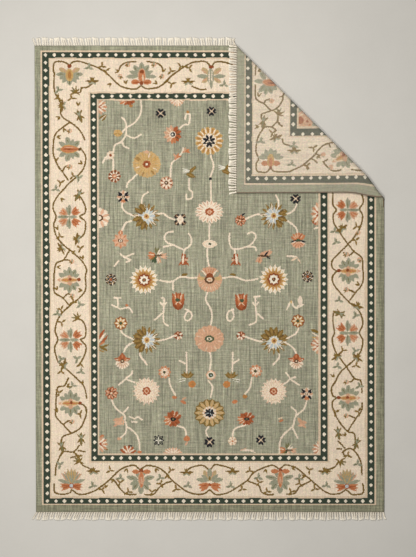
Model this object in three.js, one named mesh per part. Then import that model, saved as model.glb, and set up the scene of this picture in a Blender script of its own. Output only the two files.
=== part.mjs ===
// A hand-knotted wool rug lying pile side up, with one corner turned over so that its back shows.
// Millimetres, +Z up. The long sides run along Y, and the turned corner is the one at +X and +Y.
// Each point of the cloth has a place (x, y, h) in the flat rug as it was woven, where h is its
// height above the back. place() says where that point lies once the corner is turned over.
import * as THREE from "three";
import { mergeVertices } from "three/addons/utils/BufferGeometryUtils.js";

// The cloth as woven
const WIDTH = 1830;
const LENGTH = 2440;
const THICKNESS = 8; // cotton foundation and wool pile together
const SIDE_DRIFT = 8; // how far the left side runs in towards the rug's lower end

// The turned corner. Its crease runs at 45 degrees, from the upper end to the right side.
const FOLD_LEG = 773; // from the corner to the crease, along either edge
const UPPER_RADIUS = 9; // of the bend, at the middle of the cloth, at the crease's upper end
const SIDE_RADIUS = 12; // and at the right side, where the firm edge bends less tightly
const SIDE_SAG = 8; // how far the crease gives way inwards where it meets the right side
const SAG_REACH = 110; // the stretch of crease over which it does
const LAYER_GAP = 1.5; // between the two layers where the flap has settled
const SETTLE = 140; // from the bend to where the flap lies down on the rug
const RIPPLE = { height: 2, spacing: 370 }; // low waves that run out across the flap

// The fringe
const FRINGE_LENGTH = 44; // from the cloth's edge to the strands' ends
const STRANDS_PER_END = 145;
const FRINGE_GAP = 0.3; // between the cloth and the strip that holds the roots
const STRIP = 4; // the strip's outer edge, from the cloth's edge
const STRAND = { root: 8, tip: 4.6, height: 3, tipHeight: 2 };
const STRAND_SWAY = { lean: 3, spacing: 620, uneven: 1.6, shortest: 0.93 };
const CORNER_FLARE = { lean: 7, reach: 60 }; // the strands spread at the rug's corners
const LIFT = 0.4; // between the folded fringe's ends and the pile below them
const SOFTEN = 0.55; // the share of a folded strand over which it drops to the pile

// The mesh of the cloth
const COLUMNS = 21; // points along each row
const BEND_STEPS = 12;
const SETTLE_STEPS = 8;
const FLAP_STEPS = 5;
const FLAT_STEPS = 3;

const halfWidth = WIDTH / 2;
const halfLength = LENGTH / 2;
const creaseAcross = (halfWidth + halfLength - FOLD_LEG) / Math.SQRT2;
const creaseUpper = creaseAcross - halfLength * Math.SQRT2;
const creaseSide = halfWidth * Math.SQRT2 - creaseAcross;
const flapDepth = FOLD_LEG / Math.SQRT2;
const strandPitch = WIDTH / STRANDS_PER_END;

const smooth = (share) => THREE.MathUtils.smoothstep(share, 0, 1);

// Places in the rug's plane are also given along the crease and across it, towards the corner.
const alongOf = (x, y) => (x - y) / Math.SQRT2;
const acrossOf = (x, y) => (x + y) / Math.SQRT2;
const xOf = (along, across) => (across + along) / Math.SQRT2;
const yOf = (along, across) => (across - along) / Math.SQRT2;

function bendRadius(along) {
  const share = THREE.MathUtils.clamp((along - creaseUpper) / (creaseSide - creaseUpper), 0, 1);
  return THREE.MathUtils.lerp(UPPER_RADIUS, SIDE_RADIUS, share);
}

// The line across the cloth where the bend begins. The bend's outside stands on the crease.
function bendStart(along) {
  const sag = SIDE_SAG * smooth((along - creaseSide + SAG_REACH) / SAG_REACH);
  return creaseAcross - bendRadius(along) - THICKNESS / 2 - sag;
}

// Cloth gives on the bias, so the corner still reaches as far as a sharp fold would take it.
function biasStretch(along) {
  const before = bendRadius(along) + THICKNESS / 2;
  return (flapDepth - before) / (flapDepth + before - Math.PI * bendRadius(along));
}

// The height of the flap's middle at a distance past the bend.
function flapHeight(along, beyond) {
  const lying = smooth(beyond / SETTLE);
  const raised = 2 * bendRadius(along) + THICKNESS / 2;
  const settled = 1.5 * THICKNESS + LAYER_GAP;
  const wave = 0.5 - 0.5 * Math.cos((2 * Math.PI * (along - creaseUpper)) / RIPPLE.spacing);
  return THREE.MathUtils.lerp(raised, settled + RIPPLE.height * wave, lying);
}

function place(x, y, h) {
  const drift = ((SIDE_DRIFT * (halfWidth - x)) / WIDTH) * ((halfLength - y) / LENGTH);
  const along = alongOf(x + drift, y);
  const across = acrossOf(x + drift, y);
  const radius = bendRadius(along);
  const start = bendStart(along);
  const past = across - start;
  const turn = past / radius;
  let reach = across;
  let z = h;
  if (turn > Math.PI) {
    const beyond = past - Math.PI * radius;
    reach = start - beyond * biasStretch(along);
    z = flapHeight(along, beyond) + THICKNESS / 2 - h;
  } else if (turn > 0) {
    const arm = radius + THICKNESS / 2 - h;
    reach = start + arm * Math.sin(turn);
    z = radius + THICKNESS / 2 - arm * Math.cos(turn);
  }
  return new THREE.Vector3(xOf(along, reach), yOf(along, reach), z);
}

// Closed geometry from a list of points and triangles, without the triangles that have no area.
function closedGeometry(points, triangles) {
  const loose = new THREE.BufferGeometry().setFromPoints(points).setIndex(triangles.flat());
  const merged = mergeVertices(loose, 1e-3);
  const index = merged.index.array;
  const kept = [];
  for (let i = 0; i < index.length; i += 3) {
    const [a, b, c] = index.slice(i, i + 3);
    if (a !== b && b !== c && c !== a) kept.push(a, b, c);
  }
  merged.setIndex(kept);
  merged.computeVertexNormals();
  return merged;
}

// The rows of the cloth's mesh. Each is a function that says how far past the bend's start it lies.
function clothRows() {
  const cornerPast = (x, y) => acrossOf(x, y) - bendStart(alongOf(x, y));
  const lowerLeft = cornerPast(-halfWidth, -halfLength);
  const upperLeft = cornerPast(-halfWidth, halfLength);
  const lowerRight = cornerPast(halfWidth, -halfLength);
  const upperRight = cornerPast(halfWidth, halfLength);
  const tipAlong = alongOf(halfWidth, halfLength);
  const flapEnd = upperRight - Math.PI * bendRadius(tipAlong);

  const flatStops = [lowerLeft, upperLeft, lowerRight, 0].sort((a, b) => a - b);
  const rows = [];
  for (let stop = 0; stop + 1 < flatStops.length; stop++) {
    for (let step = 0; step < FLAT_STEPS; step++) {
      const past = THREE.MathUtils.lerp(flatStops[stop], flatStops[stop + 1], step / FLAT_STEPS);
      rows.push(() => past);
    }
  }
  for (let step = 0; step <= BEND_STEPS; step++) {
    rows.push((along) => (bendRadius(along) * Math.PI * step) / BEND_STEPS);
  }
  for (let step = 1; step <= SETTLE_STEPS; step++) {
    const beyond = (SETTLE * step) / SETTLE_STEPS;
    rows.push((along) => Math.PI * bendRadius(along) + beyond);
  }
  for (let step = 1; step <= FLAP_STEPS; step++) {
    const beyond = THREE.MathUtils.lerp(SETTLE, flapEnd, step / FLAP_STEPS);
    rows.push((along) => Math.PI * bendRadius(along) + beyond);
  }
  return rows;
}

// The two ends of a row, as places along the crease, where it meets the edges of the cloth.
function rowEnds(row) {
  let first = 0;
  let last = 0;
  for (let round = 0; round < 20; round++) {
    const atFirst = bendStart(first) + row(first);
    const atLast = bendStart(last) + row(last);
    first = Math.max(-halfWidth * Math.SQRT2 - atFirst, atFirst - halfLength * Math.SQRT2);
    last = Math.min(halfWidth * Math.SQRT2 - atLast, atLast + halfLength * Math.SQRT2);
  }
  return { first, last };
}

function clothGeometry() {
  const rows = clothRows();
  const points = [];
  for (const row of rows) {
    const { first, last } = rowEnds(row);
    for (let column = 0; column < COLUMNS; column++) {
      const along = THREE.MathUtils.lerp(first, last, column / (COLUMNS - 1));
      const across = bendStart(along) + row(along);
      const x = xOf(along, across);
      const y = yOf(along, across);
      points.push(place(x, y, 0), place(x, y, THICKNESS));
    }
  }
  const back = (row, column) => 2 * (row * COLUMNS + column);
  const pile = (row, column) => back(row, column) + 1;
  const triangles = [];
  const quad = (a, b, c, d) => triangles.push([a, b, c], [a, c, d]);
  for (let row = 0; row + 1 < rows.length; row++) {
    for (let column = 0; column + 1 < COLUMNS; column++) {
      const corners = [
        [row, column],
        [row, column + 1],
        [row + 1, column + 1],
        [row + 1, column],
      ];
      quad(...corners.map((corner) => pile(...corner)));
      quad(...corners.reverse().map((corner) => back(...corner)));
    }
    const end = COLUMNS - 1;
    quad(back(row, 0), pile(row, 0), pile(row + 1, 0), back(row + 1, 0));
    quad(back(row + 1, end), pile(row + 1, end), pile(row, end), back(row, end));
  }
  return closedGeometry(points, triangles);
}

// An even spread of small differences between neighbouring strands, from -1 to 1
const uneven = (number) => 2 * ((number * 0.618034) % 1) - 1;

// How far a strand's end leans along the rug's edge. Strands spread outwards at the two corners.
function lean(x, number) {
  const flare = smooth((Math.abs(x) - halfWidth + CORNER_FLARE.reach) / CORNER_FLARE.reach);
  return (
    STRAND_SWAY.lean * Math.sin((2 * Math.PI * x) / STRAND_SWAY.spacing) +
    STRAND_SWAY.uneven * uneven(number) +
    CORNER_FLARE.lean * Math.sign(x) * flare
  );
}

// The outline of a fringe in the plane of its strands: x along the cloth's edge, y out from it.
// Its first side is the strip that holds the roots, and its other side is the strands. Each strand
// has a corner at every one of the shares of its length.
function fringeOutline(firstStrand, lastStrand, shares) {
  const centre = (number) => -halfWidth + (number + 0.5) * strandPitch;
  const outline = new THREE.Shape();
  outline.moveTo(centre(firstStrand) - strandPitch / 2, FRINGE_GAP);
  for (let number = firstStrand; number <= lastStrand; number++) {
    outline.lineTo(centre(number) + strandPitch / 2, FRINGE_GAP);
  }
  outline.lineTo(centre(lastStrand) + strandPitch / 2, STRIP);
  for (let number = lastStrand; number >= firstStrand; number--) {
    const root = centre(number);
    const cut = THREE.MathUtils.lerp(1, STRAND_SWAY.shortest, Math.abs(uneven(3 * number)));
    const end = FRINGE_LENGTH * cut;
    const side = (share, sign) => {
      const half = THREE.MathUtils.lerp(STRAND.root, STRAND.tip, share) / 2;
      return [
        root + share * lean(root, number) + sign * half,
        THREE.MathUtils.lerp(STRIP, end, share),
      ];
    };
    for (const share of shares) outline.lineTo(...side(share, 1));
    for (const share of shares.toReversed()) outline.lineTo(...side(share, -1));
  }
  outline.lineTo(centre(firstStrand) - strandPitch / 2, STRIP);
  return outline;
}

// A fringe on the upper end of the rug (end 1) or on its lower end (end -1). Its strands go
// straight out from the cloth's edge and lie on the floor. Turned ones are carried by the turned
// corner, so they drop from its edge and lie on the pile below.
function fringeGeometry(firstStrand, lastStrand, end, turned) {
  const outline = fringeOutline(firstStrand, lastStrand, turned ? [0, SOFTEN, 1] : [0, 1]);
  const sheet = new THREE.ExtrudeGeometry(outline, { depth: 1, steps: 1, bevelEnabled: false });
  sheet.deleteAttribute("normal");
  sheet.deleteAttribute("uv");
  const merged = mergeVertices(sheet, 1e-4);
  const source = merged.attributes.position;
  const points = [];
  for (let i = 0; i < source.count; i++) {
    const x = source.getX(i);
    const out = source.getY(i);
    const height = THREE.MathUtils.lerp(STRAND.height, STRAND.tipHeight, out / FRINGE_LENGTH);
    const point = place(x, end * halfLength, source.getZ(i) * height);
    const outwards = place(x, end * (halfLength + 1), 0).sub(place(x, end * halfLength, 0));
    point.addScaledVector(outwards.setZ(0).normalize(), out);
    if (turned) {
      const drop = place(x, end * halfLength, height).z - THICKNESS - LIFT;
      point.z -= drop * smooth((out - STRIP) / (FRINGE_LENGTH - STRIP) / SOFTEN);
    }
    points.push(point);
  }
  const index = Array.from(merged.index.array);
  const triangles = [];
  for (let i = 0; i < index.length; i += 3) {
    const [a, b, c] = index.slice(i, i + 3);
    triangles.push(end > 0 ? [a, b, c] : [c, b, a]);
  }
  return closedGeometry(points, triangles);
}

// The strands on either side of the place where the upper edge goes into the bend
const bendEntry = bendStart(creaseUpper) * Math.SQRT2 - halfLength;
const bendExit = bendEntry + Math.PI * UPPER_RADIUS * Math.SQRT2;
const strandAt = (x) => (x + halfWidth) / strandPitch;
const lastStraight = Math.floor(strandAt(bendEntry)) - 1;
const firstTurned = Math.ceil(strandAt(bendExit));

const wool = new THREE.MeshStandardMaterial({ color: 0xa09980, roughness: 0.95, metalness: 0 });
const cotton = new THREE.MeshStandardMaterial({ color: 0xe3dbce, roughness: 0.9, metalness: 0 });

const pieces = [
  { name: "rug", geometry: clothGeometry(), material: wool },
  {
    name: "fringe_bottom",
    geometry: fringeGeometry(0, STRANDS_PER_END - 1, -1, false),
    material: cotton,
  },
  { name: "fringe_top", geometry: fringeGeometry(0, lastStraight, 1, false), material: cotton },
  {
    name: "fringe_flap",
    geometry: fringeGeometry(firstTurned, STRANDS_PER_END - 1, 1, true),
    material: cotton,
  },
];

const group = new THREE.Group();
for (const { name, geometry, material } of pieces) {
  const mesh = new THREE.Mesh(geometry, material);
  mesh.name = name;
  group.add(mesh);
}

// The origin is on the floor, at the middle of the whole rug's footprint.
const middle = new THREE.Box3().setFromObject(group).getCenter(new THREE.Vector3());
group.position.set(-middle.x, -middle.y, 0);

export default group;
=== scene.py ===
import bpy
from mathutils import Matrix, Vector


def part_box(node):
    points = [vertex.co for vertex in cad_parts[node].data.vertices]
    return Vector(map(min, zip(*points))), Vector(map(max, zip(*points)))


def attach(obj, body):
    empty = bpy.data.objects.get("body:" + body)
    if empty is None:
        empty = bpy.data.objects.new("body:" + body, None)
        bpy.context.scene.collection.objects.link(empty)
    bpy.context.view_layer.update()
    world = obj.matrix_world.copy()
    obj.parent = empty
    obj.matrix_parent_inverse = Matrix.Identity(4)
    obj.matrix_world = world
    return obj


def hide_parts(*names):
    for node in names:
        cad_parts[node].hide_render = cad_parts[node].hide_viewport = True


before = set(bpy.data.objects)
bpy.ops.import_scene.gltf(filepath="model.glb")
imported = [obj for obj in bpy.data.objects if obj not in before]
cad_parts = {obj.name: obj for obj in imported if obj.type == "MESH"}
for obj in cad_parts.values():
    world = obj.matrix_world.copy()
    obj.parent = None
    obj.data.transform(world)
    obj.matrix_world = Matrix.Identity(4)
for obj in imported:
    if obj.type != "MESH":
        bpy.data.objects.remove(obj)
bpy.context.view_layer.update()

import copy
import math

import bpy
import bmesh
import numpy as np
from bpy.props import FloatProperty, FloatVectorProperty, IntProperty, PointerProperty
from bpy.types import Operator, Panel, PropertyGroup
from mathutils import Vector

bl_info = {
    "name": "Oushak rug",
    "version": (1, 0, 0),
    "blender": (4, 5, 0),
    "location": "View3D > Sidebar > Rug",
    "description": "Knots a hand-woven rug, turns its corner over and fringes its two ends",
    "category": "Mesh",
}

# The flat rug lies with its long sides along Y and its middle at the origin until it is folded.
# Lengths are in metres. A place on the cloth is (x, y, height), with its height above the back.
BODY = "root"

# The cloth
SIDE_DRIFT = 0.008  # how far the left side runs in towards the lower end
SIDE_SAG = 0.018  # how far the crease gives way where it meets the right side
SAG_REACH = 0.15
SETTLE = 0.14  # from the bend to where the flap lies down on the rug
RIPPLE_HEIGHT = 0.002
RIPPLE_SPACING = 0.37
EDGE_LIFT = 0.008  # how far the flap's selvedge stands off the pile
LIFT_REACH = 0.05

# The cloth's mesh. Each face carries a square of knots.
FACES_ACROSS = 160
FACES_ALONG = 213
KNOTS_PER_FACE = 4
KNOTS_ACROSS = FACES_ACROSS * KNOTS_PER_FACE
KNOTS_ALONG = FACES_ALONG * KNOTS_PER_FACE
BEND_CUTS = 3  # across each face in the bend
BEND_MARGIN = 0.02
EDGE_ROUNDING = 0.0036
EDGE_SEGMENTS = 3
SMOOTH_ANGLE = math.radians(40)
LEVEL = 1e-6  # how far apart two points on one level may be
CORNER_COSINE = 0.5  # faces whose normals agree less than this meet at a corner

# The fringe
STRIP = 0.004  # from the cloth's edge to where the strands stand apart
UPPER_LEAN = (-0.006, -0.001)  # of the strands' ends to the right, from the left side to the right
LOWER_LEAN = (-0.014, 0.002)
LEAN_WAVE = 0.0045
LEAN_SPACING = 0.31
UNEVEN_LEAN = 0.004
SHORTEST = 0.86
FLARE_LEAN = 0.007
FLARE_REACH = 0.06
LIFT = 0.0004  # between the folded fringe and the pile under it
SOFTEN = 0.55  # the share of a folded strand over which it drops to the pile

# The photograph's frame, for the camera's place and height
FRAME_WIDTH = 416
FRAME_HEIGHT = 557

# The strands
PLIES = 3
PLY_SIDES = 5
PLY_SHARE = 0.62  # a ply's width, as a share of the strand's
FLATNESS = 0.5  # a strand's height, as a share of its width
STRAND_RINGS = 11
STRAND_TURNS = 1.6
KNOT_BULGE = 0.28
KNOT_PLACE = 0.1
KNOT_REACH = 0.06
ROOT_SPREAD = 0.9
TIP_SPREAD = 1.15
HOLLOWS_END = (0.5, 1.0)  # the shares of a strand between which the painted shade of the hollows beside it fades out
CREST = (0.2, 0.75)  # and the shares of its half width over which the painted shade darkens it towards them
ROOT_PAINTED_SHADE = 0.1  # the share of a strand that is darkened with painted shade where it leaves the cloth
STRAND_WAVE = 0.0012
WAVES = 1.3  # on a strand's length
PLY_OFFSET = 0.42  # from the strand's middle to a ply's, as a share of the ply's width
GOLDEN_SHARE = 0.618034  # the step that spreads numbers evenly over a range
CUT_STEP = 3  # multiples of a strand's number, so that its cut and its wave don't go with its lean
WAVE_STEP = 5
PROBE = 0.001  # the length over which the cloth's own directions are measured

# The stage
FLOOR_SIZE = 40
FLOOR_DROP = -0.0004
LENS = 85.0
SENSOR = 36.0
LIGHTS = (
    ("upper softbox", (-0.6, 1.4, 3.2), 0.8, 71.0, (1.0, 0.985, 0.965)),
    ("lower softbox", (-1.2, -1.0, 4.2), 1.3, 96.0, (1.0, 0.98, 0.95)),
)
SKY_COLOUR = (1.0, 0.99, 0.975, 1)
SKY_STRENGTH = 0.25

# How the wool and the cotton look. A noise has its scale to a metre, its detail and its roughness. A
# spread is how far a value goes to either side of 1. A relief has its depth and its strength.
SLUBS = (((220, 9, 1), 1.1), ((100, 3.5, 1), 0.9), ((8, 190, 1), 0.8), ((80, 80, 1), 0.4))
GROUND_WOOLS = 3  # the first wools of the list, which are spun unevenly
GROUND_STREAK = 0.55
FINE_STREAK = 0.14
BACK_STREAK = 0.18
FOUNDATION_SHARE = 0.28
EDGE_PAINTED_SHADE = 0.45  # painted shade: how far the overcast rim's moss is darkened towards black, for the shadow along the rug's edges
FOUNDATION_COLOUR = (172, 165, 149)
DYE_BANDS = (0.5, 7, 1)  # how often the dyeing changes, to a metre across and along
DYE_SPREAD = 0.06
KNOT_SPREAD = 0.14
KNOT_INSET = 0.001  # keeps the far edge of a face within its last knot
HALF_KNOT = 0.5
TINT_SLUBS = (150, 60, 1)
SLUB_TINT = 1.6  # how much slubs and single knots count in the shift of colour
KNOT_TINT = 0.7
PILE_TINT = 0.09
BACK_TINT = 0.12
TUFTS = (330.0, 3.0, 0.65)
PILE_KNOT_DEPTH = 0.5
TUFT_DEPTH = 0.9
LIE_OF_PILE = (30, 70, 1)
LIE_DETAIL = 3.0
LIE_RELIEF = (0.006, 0.5)
PILE_RELIEF = (0.0016, 0.8)
BACK_YARNS = (130, 420, 1)
BACK_DETAIL = 2.0
BACK_KNOT_DEPTH = 0.7
BACK_YARN_DEPTH = 0.5
BACK_RELIEF = (0.001, 0.8)
WRAP_SPACING = 0.004
WRAP_DEPTH = 0.5
SPECKLE = (260.0, 3.0)
SPECKLE_SPREAD = 0.14
EDGE_RELIEF = (0.0008, 0.8)
FIBRES = (700.0, 3.0)
FIBRE_SPREAD = 0.1
STRAND_SPREAD = 0.1
FRINGE_RELIEF = (0.0005, 0.7)

# The surfaces: how uneven their roughness is, and their sheen
PILE_SURFACE = (0.06, 0.2)
BACK_SURFACE = (0.05, 0.1)
EDGE_SURFACE = (0.05, 0.15)
FRINGE_SURFACE = (0.05, 0.15)
WOOL_SPECULAR = 0.15
SHEEN_ROUGHNESS = 0.5

# The floor's finish
FLOOR_COLOUR = (198, 195, 188)
FLOOR_CLOUDS = (3.0, 5.0, 0.6)
FLOOR_GRAINS = (90.0, 4.0, 0.7)
CLOUD_SPREAD = 0.06
GRAIN_SPREAD = 0.03
FLOOR_UNEVENNESS = 0.08
FLOOR_RELIEF = (0.001, 0.4)
FLOOR_SPECULAR = 0.1

# The fringes: the node that each stands for, its first and last strand, its end, whether turned, and
# how dark the painted shade is in the hollows between its strands and at their roots
FRINGES = (
    ("fringe_bottom", 0, 144, -1, False, 0.55),
    ("fringe_top", 0, 81, 1, False, 0.25),
    ("fringe_flap", 82, 144, 1, True, 0.6),
)
FRINGE_COLOUR = (245, 237, 220)
# The colour of the painted shade in the hollows between the fringe's strands and at their roots
FRINGE_PAINTED_SHADE_COLOUR = (142, 118, 82)

# The wools: what each one dyes, and its colour
WOOLS = {
    "sage": ("The field", (149, 147, 125)),
    "moss": ("Left selvedge and upper end band", (144, 143, 120)),
    # The next wool is the moss darkened with painted shade, for the right selvedge and the lower end band
    "painted_shade_moss": ("Right selvedge and lower end band", (132, 130, 107)),
    "forest": ("Guard bands", (53, 63, 50)),
    "navy": ("Flower hearts and night stars", (36, 36, 38)),
    "cream": ("Border, stems and petals", (224, 206, 182)),
    "ivory": ("Diamonds and the palest petals", (228, 216, 194)),
    "shell": ("Petal lights", (217, 190, 160)),
    "blush": ("Pink petals", (206, 162, 131)),
    "salmon": ("Pink flowers", (194, 151, 120)),
    "coral": ("Buds and tulips", (182, 116, 76)),
    "brick": ("Flower rings", (155, 84, 48)),
    "rust": ("Dark rings", (132, 70, 38)),
    "umber": ("Dark hearts", (92, 66, 42)),
    "tan": ("Pale gold petals", (190, 157, 107)),
    "straw": ("Pale bronze petals", (178, 154, 114)),
    "gold": ("Gold petals", (186, 148, 90)),
    "ochre": ("Deep gold petals", (168, 118, 66)),
    "orange": ("Berries", (184, 120, 66)),
    "olive": ("Leaves", (122, 97, 46)),
    "vine": ("Vines of the border", (110, 86, 38)),
    "bronze": ("Bronze leaves", (150, 118, 70)),
    "leaf": ("Leaf veins", (112, 108, 74)),
    "celadon": ("Grey-green petals", (147, 145, 122)),
    "peach": ("Lines beside the guards", (208, 186, 158)),
    "mist": ("Blue petals", (180, 186, 184)),
    "cloud": ("Blue-white petals", (212, 206, 188)),
    "pine": ("Dark green hearts", (66, 80, 56)),
}
WOOL_NUMBER = {name: number for number, name in enumerate(WOOLS)}
MOST_WOOLS = 32  # stops in a colour ramp

# The design paper, whose squares the motifs are drawn in. A square is a pixel of the photograph,
# and the places in the tables below are pixel coordinates read off it, with x to the right and y down.
SQUARES_ACROSS = 349.5
SQUARES_ALONG = 466.0
PAPER_CORNER = (34.6, 45.8)
CREASE_OFFSET = 190.2  # x less y along the crease
HAND = 0.22  # how far single knots stray from the paper, in squares
WANDER = 0.1  # and whole rows of them
SHARP = (0.8, 0.7)  # where a pointed petal is widest, and how full it is
BLUNT = (1.15, 0.65)
LOBE_ROOT = 0.5  # how much nearer to the middle lobes begin, and how much wider they are
LOBE_FULLNESS = 1.08
HAND_SEED = 7
ROW_WANDER = (1.9, 7)  # the spacings at which the rows wander, along themselves and across
COLUMN_WANDER = (1.7, 6)
CURVE_STEPS = 5  # between two points of a stem or a vine
MOTIF_REACH = 24  # no motif is larger than this from its middle
SPARE_KNOTS = 2  # beyond a window's edges, for knots that stray
TINY = 1e-9  # keeps a line with no length from dividing by nothing


def linear(colour):
    """A colour of 0 to 255 as the shaders want it, by the sRGB curve"""
    shares = [channel / 255 for channel in colour]
    return tuple(
        share / 12.92 if share <= 0.04045 else ((share + 0.055) / 1.055) ** 2.4 for share in shares
    )


class Cartoon:
    """The knots of the rug, each with the number of its wool."""

    def __init__(self):
        self.wool = np.full((KNOTS_ALONG, KNOTS_ACROSS), WOOL_NUMBER["sage"], np.uint8)
        self.corner = PAPER_CORNER
        self.knots = (KNOTS_ACROSS / SQUARES_ACROSS, KNOTS_ALONG / SQUARES_ALONG)
        columns = (np.arange(KNOTS_ACROSS) + 0.5) / self.knots[0] + self.corner[0]
        rows = (np.arange(KNOTS_ALONG) + 0.5) / self.knots[1] + self.corner[1]
        self.x, self.y = np.meshgrid(columns, rows)
        wander = WANDER * np.sin(self.x / ROW_WANDER[0] + 2 * np.sin(self.y / ROW_WANDER[1]))
        sway = WANDER * np.sin(self.y / COLUMN_WANDER[0] + 2 * np.sin(self.x / COLUMN_WANDER[1]))
        draw = np.random.default_rng(HAND_SEED)
        self.even_x, self.even_y = self.x + wander, self.y + sway
        self.x = self.even_x + draw.uniform(-HAND, HAND, self.x.shape)
        self.y = self.even_y + draw.uniform(-HAND, HAND, self.y.shape)

    def turned_over(self):
        """The same knots, with their places on the paper as they lie in the turned corner"""
        turned = copy.copy(self)
        turned.wool = self.wool.T
        turned.x, turned.y = self.y.T + CREASE_OFFSET, self.x.T - CREASE_OFFSET
        turned.even_x, turned.even_y = self.even_y.T + CREASE_OFFSET, self.even_x.T - CREASE_OFFSET
        turned.corner = (self.corner[1] + CREASE_OFFSET, self.corner[0] - CREASE_OFFSET)
        turned.knots = self.knots[::-1]
        return turned

    def window(self, x, y, reach):
        """The knots within a distance of a point on the paper, both ways"""
        spans = []
        for place, corner, knots in zip((y, x), self.corner[::-1], self.knots[::-1]):
            middle, margin = (place - corner) * knots, reach * knots + SPARE_KNOTS
            spans.append(slice(max(0, int(middle - margin)), max(0, int(middle + margin))))
        return tuple(spans)

    def ground(self, inside, wool):
        self.wool[inside] = WOOL_NUMBER[wool]

    def stroke(self, points, wool, width):
        """A smooth line through points"""
        path = smooth_path(points)
        for start, end in zip(path, path[1:]):
            right, down = end[0] - start[0], end[1] - start[1]
            reach = math.hypot(right, down) / 2 + width
            part = self.window((start[0] + end[0]) / 2, (start[1] + end[1]) / 2, reach)
            x, y = self.x[part] - start[0], self.y[part] - start[1]
            share = np.clip((x * right + y * down) / max(right**2 + down**2, TINY), 0, 1)
            off = np.hypot(x - share * right, y - share * down)
            self.wool[part][off <= width / 2] = WOOL_NUMBER[wool]


def smooth_path(points):
    """Points along a Catmull-Rom curve through the given ones"""
    if len(points) < 3:
        return list(points)
    places = np.array([points[0], *points, points[-1]], float)
    path = []
    for before, start, end, after in zip(places, places[1:], places[2:], places[3:]):
        for step in range(CURVE_STEPS):
            share = step / CURVE_STEPS
            path.append(tuple(0.5 * (
                2 * start + (end - before) * share
                + (2 * before - 5 * start + 4 * end - after) * share**2
                + (3 * start - before - 3 * end + after) * share**3)))
    path.append(tuple(places[-1]))
    return path


# What a motif is made of. Radii are in squares of the paper, and directions in degrees, with 0 to
# the right and 90 towards the upper end of the rug.


def disc(wool, radius, petals=0, notch=0.0, pointed=False, turn=0.0, flat=1.0, x=0.0, y=0.0):
    """A round patch, or one with petals round its rim whose notches are that share of its radius"""
    def draw(across, up):
        across, up = across - x, (up - y) / flat
        angle = np.arctan2(up, across) * petals / 2 + math.radians(turn) * petals / 2
        lobe = np.abs(np.sin(angle)) if pointed else 1 - np.abs(np.cos(angle))
        return np.hypot(across, up) <= radius * (1 - notch * lobe)
    return draw, wool


def petal(wool, direction, inner, outer, width, x=0.0, y=0.0, blunt=False):
    """A leaf that lies outwards between two radii, widest near its middle or, if blunt, its end"""
    turn = math.radians(direction)
    bulge, swell = BLUNT if blunt else SHARP
    def draw(across, up):
        along = (across - x) * math.cos(turn) + (up - y) * math.sin(turn) - inner
        aside = (up - y) * math.cos(turn) - (across - x) * math.sin(turn)
        share = np.clip(along / (outer - inner), 0, 1)
        half = width / 2 * np.sin(math.pi * share**bulge) ** swell
        return (along >= 0) & (along <= outer - inner) & (np.abs(aside) <= half)
    return draw, wool


def petals(wool, directions, inner, outer, width, x=0.0, y=0.0, blunt=False):
    return [petal(wool, direction, inner, outer, width, x, y, blunt) for direction in directions]


def lobes(wool, directions, inner, outer, width, x=0.0, y=0.0):
    """Petals with broad round ends"""
    return petals(wool, directions, inner * LOBE_ROOT, outer, width * LOBE_FULLNESS, x, y, True)


def around(count, first=0.0, drawn=None):
    """Directions spread evenly round a flower, all of them or the first few"""
    return [first + 360 / count * number for number in range(drawn or count)]


def draw_motif(cartoon, motif, x, y, across=1.0, up=None, turn=0.0):
    """Draws a motif at a place. A negative size across turns it over left to right."""
    up = abs(across) if up is None else up
    part = cartoon.window(x, y, MOTIF_REACH)
    right, rise = cartoon.x[part] - x, y - cartoon.y[part]
    angle = math.radians(turn)
    local_x = (right * math.cos(angle) + rise * math.sin(angle)) / across
    local_y = (rise * math.cos(angle) - right * math.sin(angle)) / up
    for draw, wool in motif:
        cartoon.wool[part][draw(local_x, local_y)] = WOOL_NUMBER[wool]


def blue_star(olive):
    """A pale blue flower with a gold heart, and olive leaves in the given directions"""
    beside = [direction + 12 for direction in olive]
    return [
        *petals("olive", around(15, 5), 4.5, 14, 2.9),
        *petals("bronze", around(15, 5), 7, 13, 1),
        *petals("cream", around(5, 29), 6.5, 13, 1.1),
        *petals("cream", around(15, 17), 4, 9, 1),
        *petals("mist", around(9, 4), 1.5, 8.8, 3),
        *petals("cloud", around(9, 24), 1.5, 9.6, 1.3),
        *petals("olive", olive, 4.6, 14.6, 4.8),
        *petals("umber", beside, 6, 13, 0.8),
        *petals("bronze", olive, 7, 12.6, 1.3),
        disc("cream", 3.4, 8, 0.2),
        disc("gold", 2.6),
        disc("rust", 1.1),
    ]


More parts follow.
